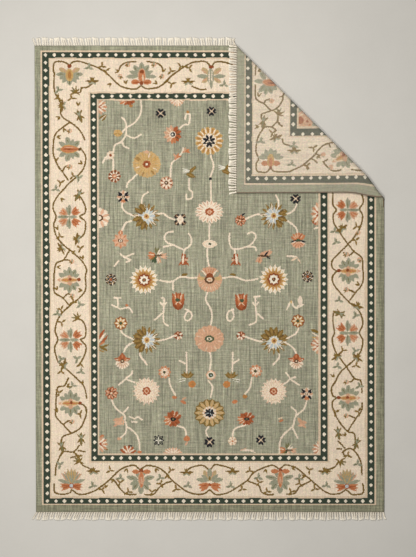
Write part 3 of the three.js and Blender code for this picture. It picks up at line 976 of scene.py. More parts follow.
# The cream stems of the field, each as points on the paper along which it runs
STEMS = [
    [(210.7, 156), (213.3, 166.5), (210, 177)],
    [(210.7, 181), (210.7, 202)],
    [(209.2, 223.5), (208.8, 240)],
    [(207, 249), (207, 256), (208.8, 266.8)],
    [(207, 292.7), (205.2, 299.8), (209.4, 307), (211.6, 316), (210, 325)],
    [(209.4, 352), (210.4, 361.2), (208.9, 370.4)],
    [(207.9, 380.6), (211.9, 386.7), (209.9, 396.9)],
    [(207.9, 427), (205.3, 431.6), (207.9, 437.8)],
    # left
    [(140.9, 100), (140.9, 112.8), (135.3, 122), (126.9, 127.6), (122, 132.5)],
    [(122, 118), (125.5, 122), (125.8, 133.9), (121.3, 141.6), (114.9, 145.1), (113.2, 152.1)],
    [(125.8, 135), (133.9, 138.1), (140.9, 134.6)],
    [(122, 142.3), (124, 146.5), (128.6, 148.3)],
    [(105.1, 157.8), (102.7, 162.7)],
    [(113.2, 159.2), (113.2, 170.4)],
    [(136.7, 174.6), (132.5, 178.5), (127.6, 183), (126.5, 187.2)],
    [(179.5, 128.3), (184.4, 124.8), (188.6, 124), (189.7, 115), (186.5, 114.2), (185.1, 119.2)],
    [(183, 148), (182.3, 152), (178, 157.8), (171.4, 164), (170.4, 176.7)],
    [(189, 178.8), (189, 189), (192, 192), (191.5, 198), (186.5, 199), (186, 194.5)],
    [(147.9, 192.1), (142.3, 197), (141, 207)],
    [(122, 203.5), (122, 207.7), (126.2, 212.6), (135.3, 216.8)],
    [(152, 215.4), (162.7, 213.7), (166.9, 216.8), (173.9, 219.6)],
    [(131, 221), (125.5, 223.2), (121.3, 230.9)],
    [(120, 254), (124.5, 257.5), (130, 260), (126, 262)],
    [(124, 257.5), (133, 253.5)],
    [(118, 261), (114, 266)],
    [(172.5, 231.9), (167.6, 232.3), (164.1, 237.2), (166.2, 242.1), (173.9, 245.3), (183, 249.8)],
    [(188.6, 233.7), (191.1, 239.3), (190, 244.9), (184.4, 249.8), (183.4, 253.3)],
    [(163.4, 247), (172.5, 244.9)],
    [(159.5, 280.4), (170.4, 281.8), (180.2, 276.8), (189.3, 277.9), (196.4, 277.9)],
    [(172.5, 282), (172.8, 289.8)],
    [(114, 297.5), (120, 298)],
    [(117, 298), (117, 306.7), (111.5, 304.8)],
    [(117, 307), (119.9, 309), (128.3, 307.7), (131.8, 312.3)],
    [(120.2, 330.2), (123.4, 334.4), (132.5, 339.3)],
    [(152, 340), (162, 340), (173.2, 336.1)],
    [(133.2, 341.8), (126.2, 346.3), (123.4, 351.9)],
    [(139.5, 349.1), (139.5, 355.4), (144.4, 361.8), (146.2, 364.6)],
    [(161, 298), (163.4, 298.5), (163.4, 304), (163, 321), (167.6, 325.6)],
    [(160, 302.5), (163.2, 305), (165.8, 302.5)],
    [(161.3, 313.3), (154.2, 320)],
    [(185, 309), (191, 313), (190.5, 318.5), (186, 320.5), (184, 316.5), (187.6, 310.5)],
    [(168.6, 378.6), (169.7, 385.6), (174.6, 394.7)],
    [(185.8, 352), (186.2, 373)],
    [(179.2, 360.7), (184.4, 363.2)],
    [(133.9, 382.1), (125.5, 378.6), (130.4, 374.4), (131.8, 370.9)],
    [(125.5, 378.6), (117.8, 384.9)],
    [(111.1, 400.2), (114.9, 407.9), (123.4, 414.9), (124.4, 420.5), (125.8, 426.1), (124.8, 432.5),
     (119.2, 438.1)],
    [(125.8, 426.1), (133.2, 431.8), (137.4, 438.1), (139.2, 452.1)],
    [(123, 412), (127.6, 407.2)],
    [(129, 416.5), (134, 418.5), (137, 416.5), (141, 419.5)],
    [(131, 421.5), (136, 422)],
    [(175.3, 425.4), (183.7, 428.2), (185.8, 436)],
    # right
    [(275.7, 195.4), (278.4, 201.6), (277.9, 209.6)],
    [(284.6, 215), (293.6, 210.5), (296.7, 203.4)],
    [(287.3, 220.8), (295.4, 227.5), (297.6, 233.8)],
    [(245.8, 219), (257, 214.1), (261.4, 215.9)],
    [(229.3, 233.8), (229.3, 242.7), (232.9, 248.9), (245.4, 247.1), (252.5, 242.7), (255.6, 236.4),
     (252.5, 232.4), (247.1, 233.8)],
    [(247.1, 246.7), (254.3, 247.1), (256.1, 250.7)],
    [(234.6, 249.8), (234.6, 254.3)],
    [(287, 256), (296, 256.5)],
    [(222.6, 277.9), (234.6, 277), (245.4, 280.6), (257.4, 278.8)],
    [(233, 309.5), (228, 312), (226.8, 318), (230, 321), (233.3, 316), (231.5, 309.5)],
    [(253.5, 297), (259.5, 296.2)],
    [(255.2, 296.5), (255.2, 305), (256, 315), (255.2, 322), (249, 325)],
    [(252.5, 302.5), (255, 305.5), (257.8, 302.5)],
    [(256.2, 313), (262.8, 318.6)],
    [(286.4, 309.6), (290.9, 301.6), (293.5, 306.5), (297, 307.9)],
    [(245.1, 336.7), (255.3, 340.3), (261.4, 341.3)],
    [(284.9, 339.3), (295.1, 333.7), (298.2, 328)],
    [(283.9, 341.8), (292, 346.9), (295.6, 352.6)],
    [(277.8, 349), (278.8, 357), (272.7, 364.8)],
    [(232.3, 352.6), (231.8, 371.4)],
    [(238.5, 359.7), (232.9, 363.3)],
    [(251.2, 377.6), (249.2, 387.8), (244.1, 394.4)],
    [(281.8, 384.7), (289.5, 379), (285.4, 372.4)],
    [(289.5, 379), (298.7, 384.7)],
    [(289.5, 379), (295.1, 377)],
    [(306.3, 400.5), (303.3, 409.2), (295.1, 416.3), (292.6, 425.5), (282.9, 434.7), (279.3, 442.9),
     (278.8, 453)],
    [(291, 407.1), (295.6, 411.2), (295.1, 416.3)],
    [(292, 427), (297.1, 437.8)],
    [(247.1, 424), (233.9, 429.1), (232.3, 436.7)],
]

# The field's single petals and patches: wool, place, direction, length and width
TOUCHES = [
    ("navy", 210, 179, 0, 3, 3),
    ("ochre", 187.6, 112.1, 0, 3, 3),
    ("coral", 186, 150.8, 20, 8, 3), ("salmon", 184.6, 150, 75, 6, 2), ("coral", 188, 152, 340, 5, 2),
    ("coral", 176.6, 156.6, 60, 8, 2.6), ("salmon", 175, 156.4, 120, 7, 2.2),
    ("coral", 178.6, 157, 20, 6, 1.8),
    ("coral", 126.5, 305.3, 0, 3.4, 3), ("coral", 173.9, 397.2, 0, 5, 3.4),
    ("coral", 182.6, 402, 150, 6, 3),
    ("salmon", 183.7, 398.2, 30, 5, 2), ("coral", 186.2, 438.3, 90, 6, 6.5),
    ("blush", 185.5, 443.5, 60, 4, 2),
    ("salmon", 120, 419.6, 60, 9, 3.6), ("salmon", 116.6, 419.4, 10, 9, 3), ("blush", 118, 423, 350, 9, 3.4),
    ("salmon", 115, 425, 210, 5, 2.4), ("blush", 122.6, 422, 90, 6, 1.4),
    ("olive", 184.4, 274.6, 10, 7, 2.6), ("olive", 232.4, 274.6, 170, 7, 2.6),
    ("ochre", 244.6, 396.4, 0, 5, 4), ("coral", 234.4, 401.5, 20, 6, 4), ("salmon", 118.5, 438.6, 0, 4, 3),
    ("salmon", 299.6, 421, 120, 9, 3.6), ("salmon", 302.6, 422, 170, 8, 3), ("blush", 301, 425, 190, 8, 3),
    ("salmon", 303.6, 426, 140, 5, 2), ("coral", 281, 420.5, 20, 5, 2.4),
    ("shell", 294.5, 258.8, 30, 8, 2), ("shell", 299, 261, 300, 6, 1.4),
    ("cream", 299.8, 300, 90, 9, 5), ("cream", 300, 305.5, 20, 8, 3.4), ("tan", 290.9, 302, 90, 3.4, 2.4),
    ("shell", 280, 418, 20, 6, 1.4),
    ("ochre", 131, 106, 0, 4, 3.4), ("olive", 102.5, 116.6, 30, 8, 2), ("olive", 104.5, 118, 55, 8, 1.8),
    ("cream", 103.6, 117.4, 42, 7, 0.8), ("umber", 100, 214, 0, 3, 3), ("pine", 101.5, 221, 20, 6, 4),
    ("navy", 129, 446.6, 30, 5, 4), ("coral", 139, 451.8, 0, 5, 3), ("cream", 247, 450, 0, 15, 2),
    ("blush", 243, 449, 25, 8, 1), ("cream", 252, 451.4, 160, 8, 1.2),
    ("brick", 101, 334, 60, 12, 3), ("cream", 102, 337, 55, 12, 2), ("brick", 103.4, 340, 50, 12, 2.4),
    ("coral", 101, 343.4, 30, 8, 2), ("olive", 102.5, 348.4, 330, 10, 3), ("bronze", 101, 351, 340, 7, 1.6),
    ("olive", 105, 345.6, 20, 7, 2), ("coral", 100.5, 437, 40, 7, 4), ("olive", 105, 449, 345, 5, 1.4),
    ("umber", 315, 213, 70, 8, 2.4), ("olive", 313.5, 220.5, 20, 5, 3), ("brick", 314.5, 223.6, 150, 6, 2.4),
    ("cream", 316, 228, 200, 7, 2), ("olive", 314.5, 331, 160, 9, 3), ("cream", 315, 334.5, 150, 7, 1.6),
    ("gold", 314, 337.4, 170, 7, 1.4), ("brick", 311.5, 343, 60, 5, 1.4),
    ("navy", 243, 214.6, 35, 5, 1.8),
]

# The touches of the turned corner, as they lie in it
TURNED_TOUCHES = [
    ("blush", 303, 122, 90, 24, 16), ("blush", 301, 119, 45, 26, 12), ("salmon", 305, 127, 0, 12, 6),
    ("brick", 299.2, 121.6, 90, 8, 6.4), ("brick", 306.2, 123, 0, 3, 2.6),
    ("coral", 302.6, 128.4, 20, 4, 2.4),
    ("coral", 308.4, 126.6, 60, 3.4, 2), ("shell", 300.6, 116, 30, 5, 1.6),
]

# The bands of the rug from its edges inwards: the wool, and how far its inner side lies from the
# left, right, upper and lower edge, and from the upper edge within the turned corner
BANDS = (
    ("moss", 5.9, 8.3, 5.0, 6.9, 7.5),
    ("peach", 7.6, 10.0, 6.6, 8.2, 8.6),
    ("forest", 14.5, 16.9, 12.3, 13.9, 15.1),
    ("peach", 15.9, 19.4, 13.8, 15.9, 16.5),
    ("cream", 53.7, 55.1, 46.2, 49.1, 52.1),
    ("peach", 55.6, 56.7, 47.8, 50.9, 53.2),
    ("forest", 62.3, 64.0, 53.4, 57.0, 59.8),
    ("peach", 64.0, 66.0, 55.0, 58.6, 61.4),
)
RIGHT_PAINTED_SHADE = 5  # how much of the right selvedge is darkened with painted shade
FLAP_PAINTED_SHADOW = 1.1  # painted shadow: a line of dark knots along the flap's lower edge
CORNER_BLEND = 176  # x less y where the bands begin to widen towards the crease
DIAMOND = 1.95  # from a diamond's middle to its points
DIAMOND_ROUNDING = 1.1  # the power that rounds its sides, where 1 is straight
VINE_WIDTH = 1.62
STEM_WIDTH = 1.7

# The rows of diamonds: the middles of the first and the last one, and how many there are
DIAMOND_ROWS = (
    ((45.6, 55.2), (239.2, 55.2), 23),
    ((46.2, 500.8), (371.0, 500.8), 39),
    ((45.6, 55.2), (46.2, 500.8), 59),
    ((370.8, 192.1), (370.8, 500.8), 40),
    ((93.5, 96.4), (277.7, 96.4), 21),
    ((93.7, 457.8), (323.8, 457.8), 27),
    ((93.5, 96.4), (93.7, 457.8), 47),
    ((323.8, 197.0), (323.8, 457.8), 34),
)
TURNED_DIAMOND_ROWS = (
    ((246.9, 61.0), (247.6, 170.2), 13),
    ((247.7, 179.6), (363.2, 178.4), 14),
    ((291.8, 107.0), (292.0, 125.6), 3),
    ((292.3, 135.6), (320.2, 135.6), 4),
)

# The palmettes of the border: the motif, its place, its size across and up, and its turn. Sizes that
# are left out are as in the field, and a turn that is left out is 0.
PALMETTES = (
    ("hanging lotus", 69.5, 74.5),
    ("upright palmette", 141.2, 76.6),
    ("bronze lotus", 211.2, 77),
    ("lens palmette", 70, 149.3),
    ("cross palmette", 69, 217),
    ("peach palmette", 69.6, 280),
    ("cross palmette", 70, 339.8),
    ("peach palmette", 70.3, 403.2),
    ("lotus", 70.3, 479.4),
    ("cross palmette", 347.3, 210, -1),
    ("peach palmette", 347.5, 271, -1),
    ("cross palmette", 347.3, 333, -1),
    ("peach palmette", 347.3, 398, -1),
    ("lotus", 346.6, 480),
    ("bow palmette", 139.6, 479.7),
    ("grey lotus", 209, 479.5),
    ("bow palmette", 279, 479.2),
)

# The palmettes of the turned corner, as they lie in it
TURNED_PALMETTES = (
    ("crease palmette", 266, 84),
    ("gold palmette", 269.8, 160.2),
    ("peach palmette", 342, 157.4, 1, 1, 28),
)

# The vines of the border, each as points on the paper along which it runs
VINES = (
    # upper
    [(53.7, 73), (54.3, 63), (62, 61.7), (67.5, 64), (69.3, 66), (73, 62.3), (80, 61.7), (90, 65),
     (100, 69), (107, 74), (113, 79.5), (120, 86), (128, 88.7), (135, 89.5), (139, 87.3), (141, 86),
     (145, 88.5), (150, 89), (158, 87.5), (165, 83), (172, 76), (180, 70), (190, 63.7), (198, 62),
     (206, 62), (211, 67), (215, 62.5), (224, 62.3), (233, 66), (241, 74), (249, 83), (257, 91),
     (264, 94.4), (272, 93.5), (276.4, 90), (281, 94)],
    [(135.5, 62), (127, 62.5), (121, 66), (119, 70.5)],
    [(147, 61.7), (155, 63), (161, 66), (163.7, 71)],
    [(164, 83), (170.5, 77), (175, 73)],
    [(192, 86.5), (200, 89.5), (206, 89.5)],
    [(54.5, 73), (54.2, 90), (58, 98), (61, 105), (60.5, 113), (63, 117.5), (70, 122.5), (77, 127.5),
     (82, 134), (84.5, 140)],
    [(70, 122.5), (62, 128), (55.5, 134), (53.5, 141), (53.3, 154.6), (58.4, 167.2), (62.3, 171.8),
     (67.6, 180)],
    [(81, 88), (80, 92.5), (73, 93)], [(92, 84), (87, 87.5), (81, 88)],
    # left
    [(80.2, 148.5), (85.5, 156.6), (83.6, 167.9), (78.2, 175.1), (68.3, 183.8), (64.3, 188.4),
     (55.7, 198.4), (52.6, 207.6), (55.7, 216.5), (53.3, 225), (55.7, 235.5), (62.3, 244.1),
     (74.3, 254.1), (82.2, 262), (86, 269.3), (84.9, 276.6), (85.5, 284), (84.8, 290), (79.6, 297.2),
     (68.3, 306.5), (63, 311.2), (57, 319.8), (54.4, 330.4), (57, 339.7), (53.9, 348), (57, 360.9),
     (63.7, 367.5), (74.3, 376.8), (82.9, 386.1), (86, 398)],
    [(62.3, 171.8), (65, 167), (70.5, 165.5)],
    [(80.2, 197), (84.9, 206.3), (84.5, 212.9), (79.6, 216.9), (85.3, 222.2), (83.6, 234.2),
     (78.2, 238.8)],
    [(69, 250.7), (63, 260), (55.7, 263.3), (53.7, 272.6), (53.3, 283), (54.2, 292.6), (62.3, 297.9),
     (68.3, 305.2)],
    [(62.3, 297.9), (67.6, 294), (71.5, 296)], [(63, 260), (67.6, 260), (71, 261.3)],
    [(75.6, 318.5), (82.2, 321.1), (85.3, 329.1), (84.2, 337), (80, 339.7), (85.3, 346.3),
     (83.6, 355.6), (78.2, 364.9)],
    [(67.6, 378.1), (63.7, 385.4), (57, 387.4), (55, 399.4), (55, 407.3), (55, 416.6), (62.3, 424.6),
     (70.3, 433.3)],
    [(79.6, 403.3), (84.9, 407.3), (85.3, 415.3), (82.9, 420.7), (79.6, 428), (70.3, 433.3),
     (61.7, 436.6), (60.5, 444)],
    [(62.3, 424.6), (67, 421), (71, 420.8)],
    [(53, 484), (53.7, 492.3), (62.3, 494), (69, 492.3), (71, 489.6), (76.9, 494), (84.9, 493.6),
     (94.2, 490.3), (103.4, 483.7), (112.7, 475.7), (118, 470.4), (127.3, 465.8), (134, 465.4),
     (139.3, 469), (145.9, 465.4), (156.5, 467.1), (164.5, 472.4), (172.4, 481), (185.7, 491),
     (196.3, 494), (204.2, 493.2), (209, 489.8), (215, 494.3), (225.2, 493.3), (234.5, 488.3),
     (246.5, 480.3), (253.1, 472.4), (265, 466.7), (273, 465.1), (279, 468.7), (284.9, 464.8),
     (295.5, 467.7), (304.8, 475), (318.1, 486.3), (328.7, 493.3), (339.3, 493.3), (345.9, 489.8),
     (351.9, 494.3), (362.5, 492.9), (362.5, 483.7)],
    [(54.4, 475), (55.7, 463.8), (62.3, 451.8), (72.3, 451.8), (78.2, 445.2)],
    [(72.3, 451.8), (75.5, 455.5), (70, 457.3)], [(77, 450.5), (84, 451.5)],
    [(78, 461), (82.2, 465.1), (91, 469.5)],
    [(112.2, 478.8), (116.7, 485), (120.7, 490.3), (126, 494), (135.3, 494.3)],
    [(143.9, 494.3), (152.5, 494), (159.2, 486.3), (164.5, 483), (170.5, 481.2)],
    [(186, 471.5), (190, 467.5), (201.6, 465), (208.5, 470)],
    [(231.9, 470.5), (229, 467.5), (221.3, 465.6), (214, 464.6), (209.5, 470)],
    [(247.8, 481), (257.7, 485), (261, 491.6), (266.4, 494.3), (273, 494.3)],
    [(286.2, 494), (294.2, 492.9), (299.5, 486.3), (310, 481)],
    # right
    [(332.7, 193), (332.7, 205), (336, 210), (332.7, 215.6), (335.3, 226.2), (347.3, 243.4),
     (353.9, 251.4), (361.8, 258), (362.5, 267.3), (362.5, 282.7), (355.2, 292.6), (349.9, 299.9)],
    [(361.2, 193), (363.2, 202.3), (359.2, 209), (362.5, 215.6), (360.5, 226.2), (355.2, 235.5),
     (347.3, 244.8), (338, 254), (332, 260.7), (332, 267.3), (336.6, 271.3)],
    [(336.6, 271.3), (332.7, 276), (332.7, 282.7), (339.3, 292), (348.6, 301.9), (359.2, 311.2),
     (362.5, 323.8), (359.2, 333), (362.5, 339.7), (361.8, 347.6), (357.9, 355.6), (346.5, 366.5),
     (340.6, 371.5), (334.7, 382.1), (331.3, 387.4), (332, 395), (336, 397.8), (332, 402),
     (333.3, 410), (338.5, 420.7), (347.3, 431.3), (353.9, 433.3), (355, 442.6)],
    [(333.3, 313.2), (332.7, 321.1), (334, 333), (332, 339.7), (335.3, 351.6), (345.9, 366.2),
     (353.9, 378.1), (360.5, 380.8), (361.8, 392.7)],
    [(353.9, 251.4), (349, 255.4), (343.3, 252.7)], [(355.2, 292.6), (347.3, 289.3)],
    [(353.9, 378.1), (351, 381.5), (345.9, 381.5)],
    [(361.8, 403), (361, 411), (355.2, 419), (347.3, 431.3)], [(355.2, 418), (349, 415.5)],
    [(338, 441), (344.6, 448)], [(336.6, 448.5), (341, 449)],
    [(342, 452.5), (348.6, 448.3), (355.2, 451.8), (360.5, 461.1), (361.8, 474.4)],
    [(343, 451), (344, 455), (349, 455.5)], [(338, 461.5), (334, 467), (325, 470)],
)

# The vines of the turned corner, as they lie in it
TURNED_VINES = (
    [(254.7, 65.5), (254.5, 76.5)],
    [(254.4, 87), (254.4, 98), (257, 102), (263, 105), (267, 109), (270.5, 112)],
    [(263, 105), (264.5, 102), (268.4, 100.5)],
    [(270.5, 112), (275, 110), (279, 106), (281.5, 101), (282, 97), (283.5, 93.5)],
    [(282, 98), (278.6, 98.6)],
    [(270.5, 112), (265, 113.8), (260.5, 116), (262, 122), (263, 128), (260, 133), (257, 139),
     (255.5, 145), (255.3, 153), (257.7, 160), (255.7, 164), (256, 171.4), (261, 173.2),
     (266.2, 172.8), (269.6, 169.4), (274, 172.6), (287.4, 172.6), (292, 171), (299, 168),
     (304, 164.5), (309, 160.5), (313.5, 156), (317, 151.5), (322, 147), (328, 144.6), (333.5, 144.4)],
    [(263, 128.3), (268, 127.9), (272, 129), (275, 131.5)],
    [(271, 128), (274, 125), (276.4, 122.4), (277.2, 116), (277.4, 111.5)],
    [(276.4, 122.4), (279, 126), (281, 127.3)],
    [(281.6, 140), (282.3, 144.6), (286, 146), (291.5, 147.4)],
    [(303, 165.4), (306, 167.4), (308, 170)],
    [(310, 159.8), (313, 161.6), (316, 164)],
    [(314, 155), (317, 156.4), (316, 159)],
    [(322, 163), (325, 167.4), (330, 171.4), (334, 172.2), (339, 171.4)],
    [(322, 163), (326, 161)],
    [(327, 145), (328.6, 148.4)],
    [(349.9, 171.2), (359.2, 172.5)],
)

# The leaves and buds of the border: the motif, its place, and its turn, which is 0 if left out
LEAVES = (
    # upper
    ("sprig", 102, 66.5, 10), ("sprig", 106, 71, 200), ("star leaf", 92.2, 81.5),
    ("twig leaf", 111, 83.5, 170), ("grey sprig", 89, 68), ("bud", 128, 64.8),
    ("bud", 120, 76.5, 90), ("twig leaf", 119, 71.5, 120), ("bud", 154, 64.8),
    ("bud", 162, 76.5), ("twig leaf", 163, 72, 20), ("sprig", 171, 71.5, 30),
    ("sprig", 181, 66.5, 160), ("sprig", 189, 68.5, 330), ("star leaf", 188, 82),
    ("sprig", 171.5, 83.8, 180), ("twig leaf", 126, 84, 40), ("twig leaf", 157, 84, 90),
    ("corner leaf", 76, 92.5, 350), ("sprig", 71.5, 98.5, 20), ("twig leaf", 78, 106, 30),
    ("big leaf", 79.3, 115.6, 20), ("grey sprig", 58.6, 90.5, 30), ("sprig", 58.5, 98, 120),
    ("star leaf", 62.5, 105.8, 90), ("twig leaf", 60, 117, 150), ("bud", 69.5, 131),
    ("twig leaf", 63.5, 128.5, 240), ("twig leaf", 57, 137, 300), ("grey sprig", 224, 85),
    ("star leaf", 255, 77, 30), ("sprig", 240, 70), ("sprig", 262, 84, 90),
    ("sprig", 341, 175, 30), ("sprig", 356, 178, 300),
    # left
    ("bud", 69.5, 166.8), ("sprig", 73, 176.5, 30), ("twig leaf", 82, 164, 90), ("sprig", 60.5, 183, 60),
    ("grey sprig", 55.5, 189.5), ("grey sprig", 78.8, 178.3, 60), ("big leaf", 78.4, 194.6, 330),
    ("twig leaf", 60.5, 198.5, 260), ("twig leaf", 56, 161, 30), ("twig leaf", 57.5, 229.5, 60),
    ("sprig", 59.4, 236.6, 20), ("star leaf", 76.5, 239, 80), ("sprig", 79.8, 248.6, 60),
    ("star leaf", 60.8, 248.4, 120), ("twig leaf", 71.5, 253.5, 320), ("bud", 71.5, 261.5),
    ("twig leaf", 56.5, 267, 300), ("twig leaf", 82.5, 259, 60), ("bud", 71.8, 296),
    ("twig leaf", 56.5, 290, 60), ("twig leaf", 81.5, 290.5, 120), ("sprig", 72.5, 302, 20),
    ("grey sprig", 79.6, 305, 30), ("sprig", 60.5, 309.4, 90), ("grey sprig", 56.5, 314),
    ("sprig", 61, 322, 200), ("corner leaf", 77.5, 318.3), ("grey sprig", 60.5, 359.4, 40),
    ("star leaf", 62.8, 365, 70), ("grey sprig", 76.5, 359, 60), ("sprig", 79.6, 364, 240),
    ("grey sprig", 80, 372), ("sprig", 60.3, 371, 240), ("twig leaf", 82, 384, 60),
    ("grey sprig", 71.8, 385.8, 20), ("twig leaf", 66, 386.5, 330), ("sprig", 58.2, 392.5, 60),
    ("twig leaf", 56.5, 412, 60), ("sprig", 79, 414, 90), ("bud", 71.2, 421.6),
    ("big leaf", 80.2, 438.2), ("big leaf", 60.8, 446, 10), ("sprig", 77, 455.5, 170),
    ("corner leaf", 78.5, 461.4), ("grey sprig", 59.2, 464.6, 60), ("star leaf", 92.4, 471.2),
    # lower
    ("sprig", 109, 470.3, 20), ("grey sprig", 91.5, 485.7, 20), ("sprig", 101, 489.5, 330),
    ("twig leaf", 104.5, 487.5, 20), ("grey sprig", 119.2, 478), ("sprig", 119, 482.5, 60),
    ("twig leaf", 113, 479.5, 150), ("sprig", 127.3, 491.8, 20), ("sprig", 151.2, 491.8, 60),
    ("grey sprig", 159.5, 478, 20), ("sprig", 160, 483.5, 100), ("twig leaf", 154.5, 468.5, 250),
    ("twig leaf", 126, 468.5, 200), ("sprig", 169.8, 470, 40), ("star leaf", 185.9, 472.4),
    ("sprig", 175.2, 489, 20), ("grey sprig", 187, 485.7), ("twig leaf", 166.5, 474.5, 210),
    ("grey sprig", 229.9, 486), ("sprig", 241.4, 489, 20), ("star leaf", 231.9, 471.6),
    ("sprig", 249, 470.6, 10), ("grey sprig", 257.8, 477.6), ("sprig", 258.4, 482.4, 40),
    ("sprig", 266.4, 491.4, 20), ("twig leaf", 265.5, 469, 200), ("twig leaf", 291.5, 468, 300),
    ("sprig", 290.9, 491.6, 40), ("grey sprig", 298.6, 478), ("sprig", 299, 483, 120),
    ("sprig", 308.6, 469.8, 300), ("sprig", 314.4, 488.6, 20), ("grey sprig", 326, 485.6),
    ("star leaf", 324.4, 471.4), ("twig leaf", 304.5, 476.5, 120),
    # right
    ("big leaf", 338, 432.5, 10), ("big leaf", 356.2, 443, 340), ("sprig", 347.5, 455.5),
    ("corner leaf", 339.5, 461, 180), ("grey sprig", 357.3, 463.8), ("grey sprig", 334.5, 231.5),
    ("star leaf", 342, 228.4, 30), ("sprig", 356.3, 226.8, 20), ("bud", 358, 232.8),
    ("grey sprig", 336, 242.4, 20), ("sprig", 355.4, 240.2, 200), ("bud", 346, 254.4),
    ("bud", 359, 260, 90), ("bud", 346, 289.6), ("twig leaf", 359, 285, 90),
    ("grey sprig", 338.6, 300.4), ("star leaf", 357, 306, 340), ("grey sprig", 355.6, 315.6, 30),
    ("big leaf", 339.5, 313.6, 250), ("sprig", 342.5, 350.6, 30), ("star leaf", 336.8, 356.4, 40),
    ("star leaf", 356.8, 357.4, 320), ("grey sprig", 355, 351, 40), ("sprig", 356, 365.6),
    ("grey sprig", 337, 366.6), ("twig leaf", 333.5, 377, 60), ("bud", 346, 381.8),
    ("grey sprig", 359.2, 386.3, 20), ("sprig", 335.6, 412.2, 60), ("sprig", 358.4, 411.6, 90),
    ("bud", 345.9, 415.6), ("twig leaf", 345, 436, 60),
)

# The leaves and buds of the turned corner, as they lie in it
TURNED_LEAVES = (
    ("star leaf", 293, 152), ("sprig", 312, 149, 200), ("grey sprig", 290.5, 165.6),
    ("grey sprig", 260, 142.6), ("star leaf", 275, 139, 20), ("sprig", 271.5, 134, 60),
    ("corner leaf", 277.4, 116, 290), ("big leaf", 262.4, 122.4, 350), ("twig leaf", 258, 128, 120),
    ("twig leaf", 257.6, 98, 20), ("pink bud", 270.6, 102.4), ("pink bud", 321.8, 156, 90),
    ("grey sprig", 292.6, 147), ("sprig", 305.5, 166.6, 200), ("twig leaf", 316, 157.6, 300),
    ("pink bud", 329.6, 168.6, 30), ("twig leaf", 257, 72, 300),
)


def weave_bands(cartoon):
    """The bands round the field. Each runs in from all four edges, so its corners are square."""
    x, y = cartoon.even_x - cartoon.corner[0], cartoon.even_y - cartoon.corner[1]
    towards = cartoon.even_x - cartoon.even_y - CORNER_BLEND
    turned = np.clip(towards / (CREASE_OFFSET - CORNER_BLEND), 0, 1)
    left, right, upper, lower, corner = ([0, *column] for column in list(zip(*BANDS))[1:])
    count = np.arange(len(left))
    plain, wide = np.interp(y, upper, count), np.interp(y, corner, count)
    depth = np.minimum.reduce([
        np.interp(x, left, count),
        np.interp(SQUARES_ACROSS - x, right, count),
        np.interp(SQUARES_ALONG - y, lower, count),
        plain + turned * (wide - plain),
    ])
    for number, band in enumerate(BANDS):
        cartoon.ground((depth >= number) & (depth < number + 1), band[0])
    # Painted shade: the outer band is knotted darker along the right selvedge and the lower end band,
    # outside the turned corner
    lower_right = (x > SQUARES_ACROSS - RIGHT_PAINTED_SHADE) | (y > SQUARES_ALONG - BANDS[0][4])
    cartoon.ground((depth < 1) & lower_right & (towards < 0), "painted_shade_moss")
    # Painted shadow: dark knots along the flap's lower edge, in the turned corner
    cartoon.ground((x > SQUARES_ACROSS - FLAP_PAINTED_SHADOW) & (towards > 0), "umber")


def weave_diamonds(cartoon, rows):
    for first, last, count in rows:
        for share in np.linspace(0, 1, count):
            x, y = between(first[0], last[0], share), between(first[1], last[1], share)
            part = cartoon.window(x, y, 2 * DIAMOND)
            across, up = np.abs(cartoon.even_x[part] - x), np.abs(cartoon.even_y[part] - y)
            near = across**DIAMOND_ROUNDING + up**DIAMOND_ROUNDING <= DIAMOND**DIAMOND_ROUNDING
            cartoon.wool[part][near] = WOOL_NUMBER["ivory"]


def weave_border(cartoon, rows, vines, leaves, palmettes):
    weave_diamonds(cartoon, rows)
    for points in vines:
        cartoon.stroke(points, "vine", VINE_WIDTH)
    for name, x, y, *turn in leaves:
        draw_motif(cartoon, MOTIFS[name], x, y, 1, 1, *turn)
    for name, x, y, *size_and_turn in palmettes:
        draw_motif(cartoon, MOTIFS[name], x, y, *size_and_turn)


def draw_cartoon():
    cartoon = Cartoon()
    for points in STEMS:
        cartoon.stroke(points, "cream", STEM_WIDTH)
    for wool, x, y, direction, length, width in TOUCHES:
        draw_motif(cartoon, [petal(wool, 0, -length / 2, length / 2, width)], x, y, turn=direction)
    for name, x, y, *size in FIELD:
        draw_motif(cartoon, MOTIFS[name], x, y, *size)
    turned = cartoon.turned_over()
    for wool, x, y, direction, length, width in TURNED_TOUCHES:
        draw_motif(turned, [petal(wool, 0, -length / 2, length / 2, width)], x, y, turn=direction)
    weave_bands(cartoon)
    weave_border(cartoon, DIAMOND_ROWS, VINES, LEAVES, PALMETTES)
    weave_border(turned, TURNED_DIAMOND_ROWS, TURNED_VINES, TURNED_LEAVES, TURNED_PALMETTES)
    return cartoon


def smooth(share):
    share = np.clip(share, 0, 1)
    return share * share * (3 - 2 * share)


def between(low, high, share):
    return low + (high - low) * share


